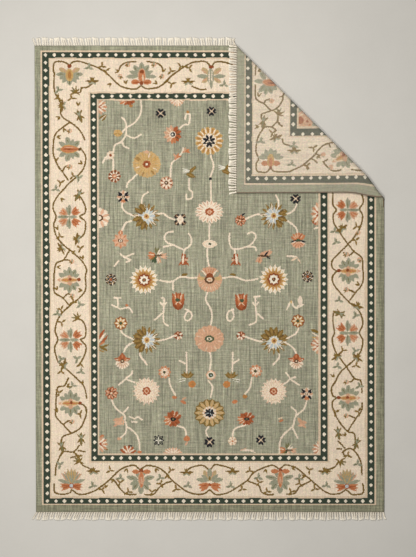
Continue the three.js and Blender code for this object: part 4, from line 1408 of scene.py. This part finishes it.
class Fold:
    """Where each place of the flat rug lies once the corner is turned over"""

    def __init__(self, sizes):
        self.width, self.length, self.thickness = sizes.width, sizes.length, sizes.thickness
        self.radii = (sizes.upper_radius, sizes.side_radius)
        self.gap = sizes.layer_gap
        root = math.sqrt(2)
        self.crease = (self.width / 2 + self.length / 2 - sizes.fold_leg) / root
        self.upper = self.crease - self.length / 2 * root
        self.side = self.width / 2 * root - self.crease
        self.depth = sizes.fold_leg / root
        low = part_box("rug")[0]
        self.middle = (low.x + self.width / 2, low.y + self.length / 2)

    def radius(self, along):
        return between(*self.radii, np.clip((along - self.upper) / (self.side - self.upper), 0, 1))

    def start(self, along):
        sag = SIDE_SAG * smooth((along - self.side + SAG_REACH) / SAG_REACH)
        return self.crease - self.radius(along) - self.thickness / 2 - sag

    def flap_height(self, along, beyond, inside):
        raised = 2 * self.radius(along) + self.thickness / 2
        wave = 0.5 - 0.5 * np.cos(2 * math.pi * (along - self.upper) / RIPPLE_SPACING)
        settled = 1.5 * self.thickness + self.gap + RIPPLE_HEIGHT * wave
        lift = EDGE_LIFT * smooth(1 - inside / LIFT_REACH)
        return between(raised, settled + lift, smooth(beyond / SETTLE))

    def place(self, x, y, height):
        """The places in the scene of places on the cloth, as an array of points"""
        x, y, height = np.broadcast_arrays(x, y, height)
        drift = SIDE_DRIFT * (self.width / 2 - x) / self.width * (self.length / 2 - y) / self.length
        root = math.sqrt(2)
        along, across = (x + drift - y) / root, (x + drift + y) / root
        radius, start = self.radius(along), self.start(along)
        past = across - start
        turn = past / radius
        arm = radius + self.thickness / 2 - height
        beyond = past - math.pi * radius
        before = radius + self.thickness / 2
        stretch = (self.depth - before) / (self.depth + before - math.pi * radius)
        bending, turned = (turn > 0) & (turn <= math.pi), turn > math.pi
        reach = np.where(bending, start + arm * np.sin(turn), across)
        reach = np.where(turned, start - beyond * stretch, reach)
        z = np.where(bending, radius + self.thickness / 2 - arm * np.cos(turn), height)
        flap = self.flap_height(along, beyond, self.width / 2 - x) + self.thickness / 2 - height
        z = np.where(turned, flap, z)
        places = ((reach + along) / root + self.middle[0], (reach - along) / root + self.middle[1], z)
        return np.stack(places, axis=-1)

    def in_bend(self, x, y):
        along, across = (x - y) / math.sqrt(2), (x + y) / math.sqrt(2)
        past = across - self.start(along)
        return (past > -BEND_MARGIN) & (past < math.pi * self.radius(along) + BEND_MARGIN)


def deselect_all():
    if bpy.context.object and bpy.context.object.mode != "OBJECT":
        bpy.ops.object.mode_set(mode="OBJECT")
    bpy.ops.object.select_all(action="DESELECT")


def apply_modifier(kind, **settings):
    """Adds a modifier to the active piece and applies it"""
    bpy.ops.object.modifier_add(type=kind)
    modifier = bpy.context.object.modifiers[-1]
    for name, value in settings.items():
        setattr(modifier, name, value)
    bpy.ops.object.modifier_apply(modifier=modifier.name)


def points_of(mesh):
    points = np.empty(len(mesh.vertices) * 3)
    mesh.vertices.foreach_get("co", points)
    return points.reshape(-1, 3)


def move_points(mesh, points):
    mesh.vertices.foreach_set("co", np.ascontiguousarray(points, np.float32).ravel())
    mesh.update()


def select_faces(mesh, chosen):
    """Selects faces by their number, in object mode, and nothing else"""
    for part in (mesh.vertices, mesh.edges, mesh.polygons):
        part.foreach_set("select", np.zeros(len(part), bool))
    mesh.polygons.foreach_set("select", chosen)


def flat_cloth(sizes):
    """The upper face of the flat rug, with its two coordinate maps and its knots"""
    deselect_all()
    bpy.ops.mesh.primitive_grid_add(
        x_subdivisions=FACES_ACROSS, y_subdivisions=FACES_ALONG, size=1, calc_uvs=True
    )
    bpy.ops.object.mode_set(mode="EDIT")
    bpy.ops.transform.resize(value=(sizes.width, sizes.length, 1))
    bpy.ops.object.mode_set(mode="OBJECT")
    rug = bpy.context.object
    rug.name = rug.data.name = "rug_cloth"
    rug.data.uv_layers[0].name = "cloth"
    lay_knots(rug.data)
    return rug


def lay_knots(mesh):
    """Gives each face its square of knots, and a map that counts the knots within the face"""
    corners = np.empty(len(mesh.loops) * 2, np.float32)
    mesh.uv_layers["cloth"].uv.foreach_get("vector", corners)
    corners = corners.reshape(-1, 4, 2)
    low, high = corners.min(axis=1, keepdims=True), corners.max(axis=1, keepdims=True)
    within = (corners - low) / (high - low) * KNOTS_PER_FACE
    mesh.uv_layers.new(name="knots")
    mesh.uv_layers["knots"].uv.foreach_set("vector", within.astype(np.float32).ravel())

    middle = (low + high)[:, 0] / 2
    column = (middle[:, 0] * FACES_ACROSS).astype(int) * KNOTS_PER_FACE
    row = (middle[:, 1] * FACES_ALONG).astype(int) * KNOTS_PER_FACE
    wool = (draw_cartoon().wool[::-1] + 0.5) / MOST_WOOLS
    for number in range(KNOTS_PER_FACE):
        four = np.stack([wool[row + number, column + step] for step in range(KNOTS_PER_FACE)], axis=1)
        attribute = mesh.attributes.new(f"knot_row_{number}", "FLOAT_COLOR", "FACE")
        attribute.data.foreach_set("color", four.astype(np.float32).ravel())


def round_the_rim(rug):
    """Bevels the two edge loops round the cloth's thickness"""
    mesh = rug.data
    bpy.ops.object.mode_set(mode="EDIT")
    bpy.ops.mesh.select_mode(type="EDGE")
    bpy.ops.mesh.select_all(action="DESELECT")
    body = bmesh.from_edit_mesh(mesh)
    for edge in body.edges:
        faces = edge.link_faces
        level = abs(edge.verts[0].co.z - edge.verts[1].co.z) < LEVEL
        if level and len(faces) == 2 and abs(faces[0].normal.dot(faces[1].normal)) < CORNER_COSINE:
            edge.select_set(True)
    bmesh.update_edit_mesh(mesh)
    bpy.ops.mesh.bevel(offset=EDGE_ROUNDING, segments=EDGE_SEGMENTS, affect="EDGES")
    bpy.ops.object.mode_set(mode="OBJECT")


def refine_the_bend(rug, fold):
    """Cuts the faces in the bend smaller, so that it turns smoothly"""
    mesh = rug.data
    centres = np.empty(len(mesh.polygons) * 3)
    mesh.polygons.foreach_get("center", centres)
    centres = centres.reshape(-1, 3)
    bpy.ops.object.mode_set(mode="EDIT")
    bpy.ops.mesh.select_mode(type="FACE")
    bpy.ops.object.mode_set(mode="OBJECT")
    select_faces(mesh, fold.in_bend(centres[:, 0], centres[:, 1]))
    bpy.ops.object.mode_set(mode="EDIT")
    bpy.ops.mesh.subdivide(number_cuts=BEND_CUTS)
    bpy.ops.object.mode_set(mode="OBJECT")


def make_cloth(sizes):
    fold = Fold(sizes)
    rug = flat_cloth(sizes)
    for finish in (pile_finish(sizes), back_finish(sizes), edge_finish(sizes)):
        rug.data.materials.append(finish)
    apply_modifier("SOLIDIFY", thickness=sizes.thickness, offset=-1, material_offset=1,
                   material_offset_rim=2)
    round_the_rim(rug)
    refine_the_bend(rug, fold)
    flat = points_of(rug.data)
    move_points(rug.data, fold.place(flat[:, 0], flat[:, 1], flat[:, 2] + sizes.thickness))
    bpy.ops.object.shade_smooth_by_angle(angle=SMOOTH_ANGLE)
    return rug


def uneven(number):
    """An even spread of small differences between neighbours, from -1 to 1"""
    return 2 * ((number * GOLDEN_SHARE) % 1) - 1


def twisted_strand(sizes):
    """One strand that lies along Y from 0 to 1, of plies twisted together"""
    deselect_all()
    ply = sizes.strand_width * PLY_SHARE
    bpy.ops.mesh.primitive_cylinder_add(
        vertices=PLY_SIDES, radius=ply / 2, depth=1, end_fill_type="TRIFAN",
        location=(0, 0.5, 0), rotation=(math.radians(-90), 0, 0),
    )
    bpy.ops.object.transform_apply(location=True, rotation=True, scale=True)
    strand = bpy.context.object
    bpy.ops.object.mode_set(mode="EDIT")
    bpy.ops.mesh.select_mode(type="EDGE")
    bpy.ops.mesh.select_all(action="DESELECT")
    body = bmesh.from_edit_mesh(strand.data)
    for edge in body.edges:
        edge.select_set(abs(edge.verts[0].co.y - edge.verts[1].co.y) > LEVEL)
    bmesh.update_edit_mesh(strand.data)
    bpy.ops.mesh.subdivide(number_cuts=STRAND_RINGS)
    bpy.ops.mesh.select_all(action="SELECT")
    bpy.ops.transform.translate(value=(0, 0, ply * PLY_OFFSET))
    bpy.ops.mesh.spin(
        steps=PLIES - 1, angle=math.tau * (PLIES - 1) / PLIES, dupli=True,
        center=(0, 0, 0), axis=(0, 1, 0),
    )
    bpy.ops.object.mode_set(mode="OBJECT")
    return strand


def twist(points, turns):
    """Winds the plies round the strand, tighter at the knot and open at the cut end"""
    share = np.clip(points[:, 1], 0, 1)
    angle = math.tau * turns * share
    knot = 1 + KNOT_BULGE * np.exp(-(((share - KNOT_PLACE) / KNOT_REACH) ** 2))
    spread = knot * between(ROOT_SPREAD, TIP_SPREAD, share**3)
    x = (points[:, 0] * np.cos(angle) - points[:, 2] * np.sin(angle)) * spread
    z = (points[:, 0] * np.sin(angle) + points[:, 2] * np.cos(angle)) * spread
    return np.stack((x, share, z * FLATNESS), axis=1)


def lean_of(x, number, half_width, end):
    flare = smooth((np.abs(x) - half_width + FLARE_REACH) / FLARE_REACH)
    left, right = UPPER_LEAN if end > 0 else LOWER_LEAN
    return (
        between(left, right, smooth(0.5 + x / half_width / 2))
        + LEAN_WAVE * np.sin(math.tau * x / LEAN_SPACING)
        + UNEVEN_LEAN * uneven(number)
        + FLARE_LEAN * np.sign(x) * flare
    )


def make_fringe(name, sizes, first, last, end, turned, dark):
    """A row of strands on the upper end (1) or the lower end (-1), on the floor or on the pile"""
    fold = Fold(sizes)
    strand = twisted_strand(sizes)
    strand.name = strand.data.name = name
    one = twist(points_of(strand.data), STRAND_TURNS)
    count = last - first + 1
    apply_modifier("ARRAY", count=count, use_relative_offset=False, use_constant_offset=True,
                   constant_offset_displace=(sizes.width / sizes.strands, 0, 0))
    numbers = np.repeat(np.arange(first, last + 1), len(one))
    local = np.tile(one, (count, 1))
    move_points(strand.data, lay_strands(fold, sizes, numbers, local, end, turned))
    strand.data.materials.append(fringe_finish())
    # The painted shade in the hollows between the strands and at their roots, as dark as the table's last
    # column says
    name_the_strands(strand.data, numbers, dark * np.tile(painted_hollow_shade(one), count))
    bpy.ops.object.shade_smooth()
    return strand


def lay_strands(fold, sizes, numbers, local, end, turned):
    """Carries strands from beside each other to their places at the cloth's edge"""
    half_width, edge = sizes.width / 2, end * sizes.length / 2
    root = -half_width + (numbers + 0.5) * sizes.width / sizes.strands
    cut = between(1, SHORTEST, np.abs(uneven(CUT_STEP * numbers)))
    share = local[:, 1]
    wave = STRAND_WAVE * np.sin(math.tau * (share * WAVES + uneven(WAVE_STEP * numbers))) * share
    aside = local[:, 0] + share * lean_of(root, numbers, half_width, end) + wave
    out = between(0, sizes.fringe_length * cut, share)
    level = -local[:, 2].min()
    base = fold.place(root, edge, level)
    ahead = fold.place(root, edge + end * PROBE, level) - base
    beside = fold.place(root + PROBE / 2, edge, level) - fold.place(root - PROBE / 2, edge, level)
    for direction in (ahead, beside):
        direction[:, 2] = 0
        direction /= np.linalg.norm(direction, axis=1, keepdims=True)
    points = base + ahead * out[:, None] + beside * aside[:, None]
    if turned:
        rest = sizes.thickness + LIFT + level
        drop = np.maximum(base[:, 2] - rest, 0)
        points[:, 2] -= drop * smooth((out - STRIP) / (sizes.fringe_length - STRIP) / SOFTEN)
    points[:, 2] += local[:, 2]
    return points


def painted_hollow_shade(one):
    """How deep each point of a strand lies in the hollow between it and the next, or near its root, as the
    weight of the painted shade that darkens it there
    """
    share, side = one[:, 1], np.abs(one[:, 0]) / np.abs(one[:, 0]).max()
    closing = (share - HOLLOWS_END[0]) / (HOLLOWS_END[1] - HOLLOWS_END[0])
    beside = smooth((side - CREST[0]) / (CREST[1] - CREST[0])) * (1 - smooth(closing))
    return np.maximum(beside, 1 - smooth(share / ROOT_PAINTED_SHADE))


def name_the_strands(mesh, numbers, depths):
    """Gives each strand a shade of its own, and each point the weight of its painted shade in the hollows
    between the strands and at the root
    """
    for name, values in (("shade", (numbers * GOLDEN_SHARE) % 1), ("painted_shade", depths)):
        attribute = mesh.attributes.new(name, "FLOAT", "POINT")
        attribute.data.foreach_set("value", values.astype(np.float32))


class Finish:
    """A material whose nodes are made one at a time"""

    def __init__(self, name):
        self.material = bpy.data.materials.new(name)
        self.material.use_nodes = True
        self.tree = self.material.node_tree
        self.shader = self.tree.nodes["Principled BSDF"]

    def node(self, kind, inputs=(), **settings):
        """A node, with its sockets linked or set. Inputs are pairs of a socket and a value."""
        made = self.tree.nodes.new(kind)
        for name, value in settings.items():
            setattr(made, name, value)
        for socket, value in inputs:
            self.feed(made.inputs[socket], value)
        return made

    def feed(self, socket, value):
        if isinstance(value, bpy.types.NodeSocket):
            self.tree.links.new(value, socket)
        else:
            socket.default_value = value

    def math(self, operation, *values):
        return self.node("ShaderNodeMath", enumerate(values), operation=operation).outputs[0]

    def vector(self, operation, first, second, output="Vector"):
        made = self.node("ShaderNodeVectorMath", [(0, first), (1, second)], operation=operation)
        return made.outputs[output]

    def scaled(self, vector, share):
        inputs = [(0, vector), ("Scale", share)]
        return self.node("ShaderNodeVectorMath", inputs, operation="SCALE").outputs[0]

    def map(self, name):
        return self.node("ShaderNodeUVMap", uv_map=name).outputs[0]

    def noise(self, place, scale, detail=2.0, roughness=0.5):
        inputs = [("Vector", place), ("Scale", scale), ("Detail", detail), ("Roughness", roughness)]
        return self.node("ShaderNodeTexNoise", inputs).outputs[0]

    def chance(self, place):
        return self.node("ShaderNodeTexWhiteNoise", [("Vector", place)]).outputs

    def spread(self, value, amount):
        """A value of 0 to 1 as a share round 1"""
        return self.math("MULTIPLY_ADD", value, 2 * amount, 1 - amount)

    def mix(self, share, first, second, blend="MIX"):
        made = self.node("ShaderNodeMix", data_type="RGBA", blend_type=blend)
        colours = [socket for socket in made.inputs if socket.type == "RGBA"]
        self.feed(made.inputs[0], share)
        self.feed(colours[0], first)
        self.feed(colours[1], second)
        return [socket for socket in made.outputs if socket.type == "RGBA"][0]

    def bump(self, height, distance, strength=1.0, normal=None):
        inputs = [("Height", height), ("Distance", distance), ("Strength", strength)]
        if normal is not None:
            inputs.append(("Normal", normal))
        return self.node("ShaderNodeBump", inputs).outputs[0]

    def wool_surface(self, colour, grain, normal, unevenness, sheen):
        """Matt yarn, whose roughness goes up and down with its grain"""
        self.feed(self.shader.inputs["Base Color"], colour)
        self.feed(self.shader.inputs["Roughness"], self.spread(grain, unevenness))
        self.feed(self.shader.inputs["Normal"], normal)
        self.shader.inputs["Specular IOR Level"].default_value = WOOL_SPECULAR
        self.shader.inputs["Sheen Weight"].default_value = sheen
        self.shader.inputs["Sheen Roughness"].default_value = SHEEN_ROUGHNESS
        return self.material


def knotted_wool(finish):
    """The number of each knot's wool. A face's four attributes hold its four rows, and the channels
    of each one its four columns."""
    knots = finish.node("ShaderNodeSeparateXYZ", [(0, finish.map("knots"))]).outputs
    last = KNOTS_PER_FACE - KNOT_INSET
    column, row = (
        finish.math("FLOOR", finish.math("MINIMUM", finish.math("MAXIMUM", knots[axis], 0.0), last))
        for axis in (0, 1)
    )
    at_column, at_row = (
        [finish.math("COMPARE", place, float(step), HALF_KNOT) for step in range(KNOTS_PER_FACE)]
        for place in (column, row)
    )
    first_three = finish.node("ShaderNodeCombineXYZ", enumerate(at_column[:3])).outputs[0]
    number = 0.0
    for step in range(KNOTS_PER_FACE):
        four = finish.node("ShaderNodeAttribute", attribute_name=f"knot_row_{step}").outputs
        one = finish.vector("DOT_PRODUCT", four["Color"], first_three, "Value")
        one = finish.math("MULTIPLY_ADD", four["Alpha"], at_column[3], one)
        number = finish.math("MULTIPLY_ADD", one, at_row[step], number)
    return number


def wool_ramp(finish, number):
    ramp = finish.node("ShaderNodeValToRGB", [(0, number)])
    stops = ramp.color_ramp.elements
    ramp.color_ramp.interpolation = "CONSTANT"
    for step, name in enumerate(WOOLS):
        stop = stops[step] if step < 1 else stops.new(step / MOST_WOOLS)
        stop.position = step / MOST_WOOLS
        stop.color = (*getattr(bpy.context.scene.rug_wools, name), 1)
    if stops[-1].position == 1:
        stops.remove(stops[-1])
    return ramp.outputs[0]


def cloth_places(finish, sizes):
    """The cloth's own coordinates in metres, and its knots counted from its lower left corner"""
    cloth = finish.map("cloth")
    metres = finish.vector("MULTIPLY", cloth, (sizes.width, sizes.length, 1))
    knots = finish.vector("MULTIPLY", cloth, (KNOTS_ACROSS, KNOTS_ALONG, 1))
    return metres, knots


def yarn_shade(finish, metres, knots, streak):
    """How light each place is: bands of one dyeing, slubs that run along the columns and the rows
    of knots, and single knots. Also three numbers by chance for each knot."""
    shade = finish.spread(finish.noise(finish.vector("MULTIPLY", metres, DYE_BANDS), 1.0), DYE_SPREAD)
    for scale, share in SLUBS:
        slub = finish.noise(finish.vector("MULTIPLY", metres, scale), 1.0, 1.0)
        amount = finish.math("MULTIPLY", streak, 2 * share)
        light = finish.math("MULTIPLY_ADD", finish.math("SUBTRACT", slub, 0.5), amount, 1.0)
        shade = finish.math("MULTIPLY", shade, light)
    single = finish.chance(finish.vector("FLOOR", knots, (0, 0, 0)))
    return finish.math("MULTIPLY", shade, finish.spread(single[0], KNOT_SPREAD)), single[1]


def tinted(finish, colour, metres, chance, amount):
    """The colour with a small shift of its own in each channel, from knot to knot and in patches"""
    slubs = finish.node("ShaderNodeTexNoise", [
        ("Vector", finish.vector("MULTIPLY", metres, TINT_SLUBS)), ("Scale", 1.0), ("Detail", 1.0),
    ]).outputs[1]
    both = finish.vector("ADD", finish.scaled(slubs, SLUB_TINT), finish.scaled(chance, KNOT_TINT))
    middle = ((SLUB_TINT + KNOT_TINT) / 2,) * 3
    shift = finish.scaled(finish.vector("SUBTRACT", both, middle), amount)
    return finish.vector("MULTIPLY", colour, finish.vector("ADD", shift, (1, 1, 1)))


def knot_relief(finish, knots, depth):
    """Rows of rounded knots"""
    fraction = finish.vector("FRACTION", knots, (0, 0, 0))
    inside = finish.node("ShaderNodeSeparateXYZ", [(0, fraction)]).outputs
    across = finish.math("SINE", finish.math("MULTIPLY", inside[0], math.pi))
    along = finish.math("SINE", finish.math("MULTIPLY", inside[1], math.pi))
    return finish.math("MULTIPLY", finish.math("MULTIPLY", across, along), depth)


def pile_finish(sizes):
    """The knotted side"""
    finish = Finish("wool_pile")
    metres, knots = cloth_places(finish, sizes)
    wool = knotted_wool(finish)
    ground = finish.math("LESS_THAN", wool, GROUND_WOOLS / MOST_WOOLS)
    streak = finish.math("MULTIPLY_ADD", ground, GROUND_STREAK - FINE_STREAK, FINE_STREAK)
    shade, chance = yarn_shade(finish, metres, knots, streak)
    colour = tinted(finish, wool_ramp(finish, wool), metres, chance, PILE_TINT)
    colour = finish.scaled(colour, shade)
    tufts = finish.noise(metres, *TUFTS)
    relief = knot_relief(finish, knots, PILE_KNOT_DEPTH)
    height = finish.math("ADD", relief, finish.math("MULTIPLY", tufts, TUFT_DEPTH))
    lie = finish.noise(finish.vector("MULTIPLY", metres, LIE_OF_PILE), 1.0, LIE_DETAIL)
    normal = finish.bump(height, *PILE_RELIEF, finish.bump(lie, *LIE_RELIEF))
    return finish.wool_surface(colour, tufts, normal, *PILE_SURFACE)


def back_finish(sizes):
    """The flat side, where the design shows through the pale foundation"""
    finish = Finish("wool_back")
    metres, knots = cloth_places(finish, sizes)
    shade, chance = yarn_shade(finish, metres, knots, BACK_STREAK)
    foundation = (*linear(FOUNDATION_COLOUR), 1)
    colour = finish.mix(FOUNDATION_SHARE, wool_ramp(finish, knotted_wool(finish)), foundation)
    colour = finish.scaled(tinted(finish, colour, metres, chance, BACK_TINT), shade)
    yarns = finish.noise(finish.vector("MULTIPLY", metres, BACK_YARNS), 1.0, BACK_DETAIL)
    relief = knot_relief(finish, knots, BACK_KNOT_DEPTH)
    height = finish.math("ADD", relief, finish.math("MULTIPLY", yarns, BACK_YARN_DEPTH))
    normal = finish.bump(height, *BACK_RELIEF)
    return finish.wool_surface(colour, yarns, normal, *BACK_SURFACE)


def edge_finish(sizes):
    """The overcast selvedge, whose yarn is wrapped round the rug's edge, darkened with painted shade"""
    finish = Finish("wool_edge")
    metres = cloth_places(finish, sizes)[0]
    wraps = finish.node("ShaderNodeSeparateXYZ", [(0, metres)]).outputs
    round_edge = finish.math("ADD", wraps[0], wraps[1])
    turns = finish.math("SINE", finish.math("MULTIPLY", round_edge, math.tau / WRAP_SPACING))
    speckle = finish.noise(metres, *SPECKLE)
    moss = (*bpy.context.scene.rug_wools.moss, 1)
    # Painted shade: the rim's moss is darkened towards black
    colour = finish.mix(EDGE_PAINTED_SHADE, moss, (0, 0, 0, 1))
    colour = finish.scaled(colour, finish.spread(speckle, SPECKLE_SPREAD))
    normal = finish.bump(finish.math("MULTIPLY_ADD", turns, WRAP_DEPTH, speckle), *EDGE_RELIEF)
    return finish.wool_surface(colour, speckle, normal, *EDGE_SURFACE)


def fringe_finish():
    """Undyed cotton, a little different on each strand, darkened with painted shade in the hollows between
    the strands and at their roots
    """
    finish = Finish("cotton_fringe")
    place = finish.node("ShaderNodeTexCoord").outputs["Object"]
    shade = finish.node("ShaderNodeAttribute", attribute_name="shade").outputs["Fac"]
    fibres = finish.noise(place, *FIBRES)
    painted_shade = finish.node("ShaderNodeAttribute", attribute_name="painted_shade").outputs["Fac"]
    cotton = (*bpy.context.scene.rug_wools.fringe, 1)
    # Painted shade in the hollows between the strands and at their roots
    colour = finish.mix(painted_shade, cotton, (*linear(FRINGE_PAINTED_SHADE_COLOUR), 1))
    colour = finish.scaled(colour, finish.spread(fibres, FIBRE_SPREAD))
    colour = finish.scaled(colour, finish.spread(shade, STRAND_SPREAD))
    normal = finish.bump(fibres, *FRINGE_RELIEF)
    return finish.wool_surface(colour, fibres, normal, *FRINGE_SURFACE)


def floor_finish():
    finish = Finish("pale_floor")
    place = finish.node("ShaderNodeTexCoord").outputs["Object"]
    clouds = finish.noise(place, *FLOOR_CLOUDS)
    grains = finish.noise(place, *FLOOR_GRAINS)
    colour = finish.scaled(linear(FLOOR_COLOUR), finish.spread(clouds, CLOUD_SPREAD))
    colour = finish.scaled(colour, finish.spread(grains, GRAIN_SPREAD))
    normal = finish.bump(grains, *FLOOR_RELIEF)
    finish.feed(finish.shader.inputs["Base Color"], colour)
    finish.feed(finish.shader.inputs["Roughness"], finish.spread(clouds, FLOOR_UNEVENNESS))
    finish.feed(finish.shader.inputs["Normal"], normal)
    finish.shader.inputs["Specular IOR Level"].default_value = FLOOR_SPECULAR
    return finish.material


def make_floor():
    deselect_all()
    bpy.ops.mesh.primitive_plane_add(size=FLOOR_SIZE, location=(0, 0, FLOOR_DROP))
    bpy.ops.object.transform_apply(location=True, rotation=True, scale=True)
    floor = bpy.context.object
    floor.name = floor.data.name = "floor"
    floor.data.materials.append(floor_finish())


def aim(thing, target):
    thing.rotation_euler = (Vector(target) - thing.location).to_track_quat("-Z", "Y").to_euler()


def make_camera():
    deselect_all()
    metres_per_square = bpy.context.scene.rug_sizes.width / SQUARES_ACROSS
    view_height = FRAME_HEIGHT * metres_per_square
    distance = view_height / SENSOR * LENS
    fold = Fold(bpy.context.scene.rug_sizes)
    sheet_middle = (PAPER_CORNER[0] + SQUARES_ACROSS / 2, PAPER_CORNER[1] + SQUARES_ALONG / 2)
    x = fold.middle[0] + (FRAME_WIDTH / 2 - sheet_middle[0]) * metres_per_square
    y = fold.middle[1] - (FRAME_HEIGHT / 2 - sheet_middle[1]) * metres_per_square
    bpy.ops.object.camera_add(location=(x, y, distance), rotation=(0, 0, 0))
    camera = bpy.context.object
    camera.data.lens = LENS
    camera.data.sensor_width = SENSOR
    bpy.context.scene.camera = camera


def make_lights():
    deselect_all()
    for name, place, size, power, colour in LIGHTS:
        bpy.ops.object.light_add(type="AREA", location=place)
        lamp = bpy.context.object
        lamp.name = name
        lamp.data.size = size
        lamp.data.energy = power
        lamp.data.color = colour
        aim(lamp, (0, 0, 0))
    world = bpy.data.worlds.new("studio")
    world.use_nodes = True
    sky = world.node_tree.nodes["Background"]
    sky.inputs["Color"].default_value = SKY_COLOUR
    sky.inputs["Strength"].default_value = SKY_STRENGTH
    bpy.context.scene.world = world
    bpy.context.scene.view_settings.view_transform = "Standard"


def length_property(name, use, default):
    return FloatProperty(name=name, description=use, default=default, min=0,
                         subtype="DISTANCE", unit="LENGTH")


class RugSizes(PropertyGroup):
    """The sizes of the rug"""

    width: length_property("Width", "From selvedge to selvedge", 1.83)
    length: length_property("Length", "Of the woven body, without the fringe", 2.44)
    thickness: length_property("Thickness", "Of foundation and pile together", 0.008)
    fold_leg: length_property("Fold", "From the turned corner to the crease, along either edge", 0.773)
    upper_radius: length_property("Upper bend", "Radius of the crease at the upper end", 0.009)
    side_radius: length_property("Side bend", "Radius of the crease at the right side", 0.012)
    layer_gap: length_property("Layer gap", "Between the flap and the rug under it", 0.0015)
    fringe_length: length_property("Fringe", "From the cloth's edge to the strands' ends", 0.044)
    strand_width: length_property("Strand", "Thickness of a strand of the fringe", 0.0106)
    strands: IntProperty(name="Strands", description="On each end of the rug", default=145, min=1)


class RugWools(PropertyGroup):
    """The colours of the yarns"""


def colour_property(name, use, colour):
    return FloatVectorProperty(name=name.capitalize(), description=use, default=linear(colour),
                               size=3, min=0, max=1, subtype="COLOR")


RugWools.__annotations__ = {name: colour_property(name, *row) for name, row in WOOLS.items()}
RugWools.__annotations__["fringe"] = colour_property("fringe", "The cotton of the fringe", FRINGE_COLOUR)


class RugStage(Operator):
    """Lays the floor and sets up the camera and the lights"""

    bl_idname = "rug.stage"
    bl_label = "Stage"

    def execute(self, context):
        make_camera()
        make_lights()
        make_floor()
        return {"FINISHED"}


class RugCloth(Operator):
    """Knots the cloth and turns its corner over"""

    bl_idname = "rug.cloth"
    bl_label = "Woven body"

    def execute(self, context):
        rug = make_cloth(context.scene.rug_sizes)
        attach(rug, BODY)
        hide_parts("rug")
        return {"FINISHED"}


class RugFringes(Operator):
    """Twists the strands of the three fringes"""

    bl_idname = "rug.fringes"
    bl_label = "Fringes"

    def execute(self, context):
        sizes = context.scene.rug_sizes
        rug = bpy.data.objects.get("rug_cloth")
        if rug is None:
            raise RuntimeError("The cloth has to be there before its fringes")
        for name, *row in FRINGES:
            fringe = make_fringe(f"{name}_strands", sizes, *row)
            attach(fringe, BODY)
            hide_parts(name)
        return {"FINISHED"}


class RugPanel(Panel):
    """The rug's tools, in the order in which they are used"""

    bl_idname = "RUG_PT_tools"
    bl_label = "Oushak rug"
    bl_space_type = "VIEW_3D"
    bl_region_type = "UI"
    bl_category = "Rug"

    def draw(self, context):
        for operator in OPERATORS:
            self.layout.operator(operator.bl_idname)
        for group in (context.scene.rug_sizes, context.scene.rug_wools):
            box = self.layout.box()
            for name in group.__annotations__:
                box.prop(group, name)


OPERATORS = (RugStage, RugCloth, RugFringes)
CLASSES = (RugSizes, RugWools, *OPERATORS, RugPanel)


def register():
    for made in CLASSES:
        bpy.utils.register_class(made)
    bpy.types.Scene.rug_sizes = PointerProperty(type=RugSizes)
    bpy.types.Scene.rug_wools = PointerProperty(type=RugWools)


def unregister():
    del bpy.types.Scene.rug_wools
    del bpy.types.Scene.rug_sizes
    for made in reversed(CLASSES):
        bpy.utils.unregister_class(made)


def main():
    register()
    bpy.ops.rug.stage()
    bpy.ops.rug.cloth()
    bpy.ops.rug.fringes()


if __name__ == "__main__":
    main()
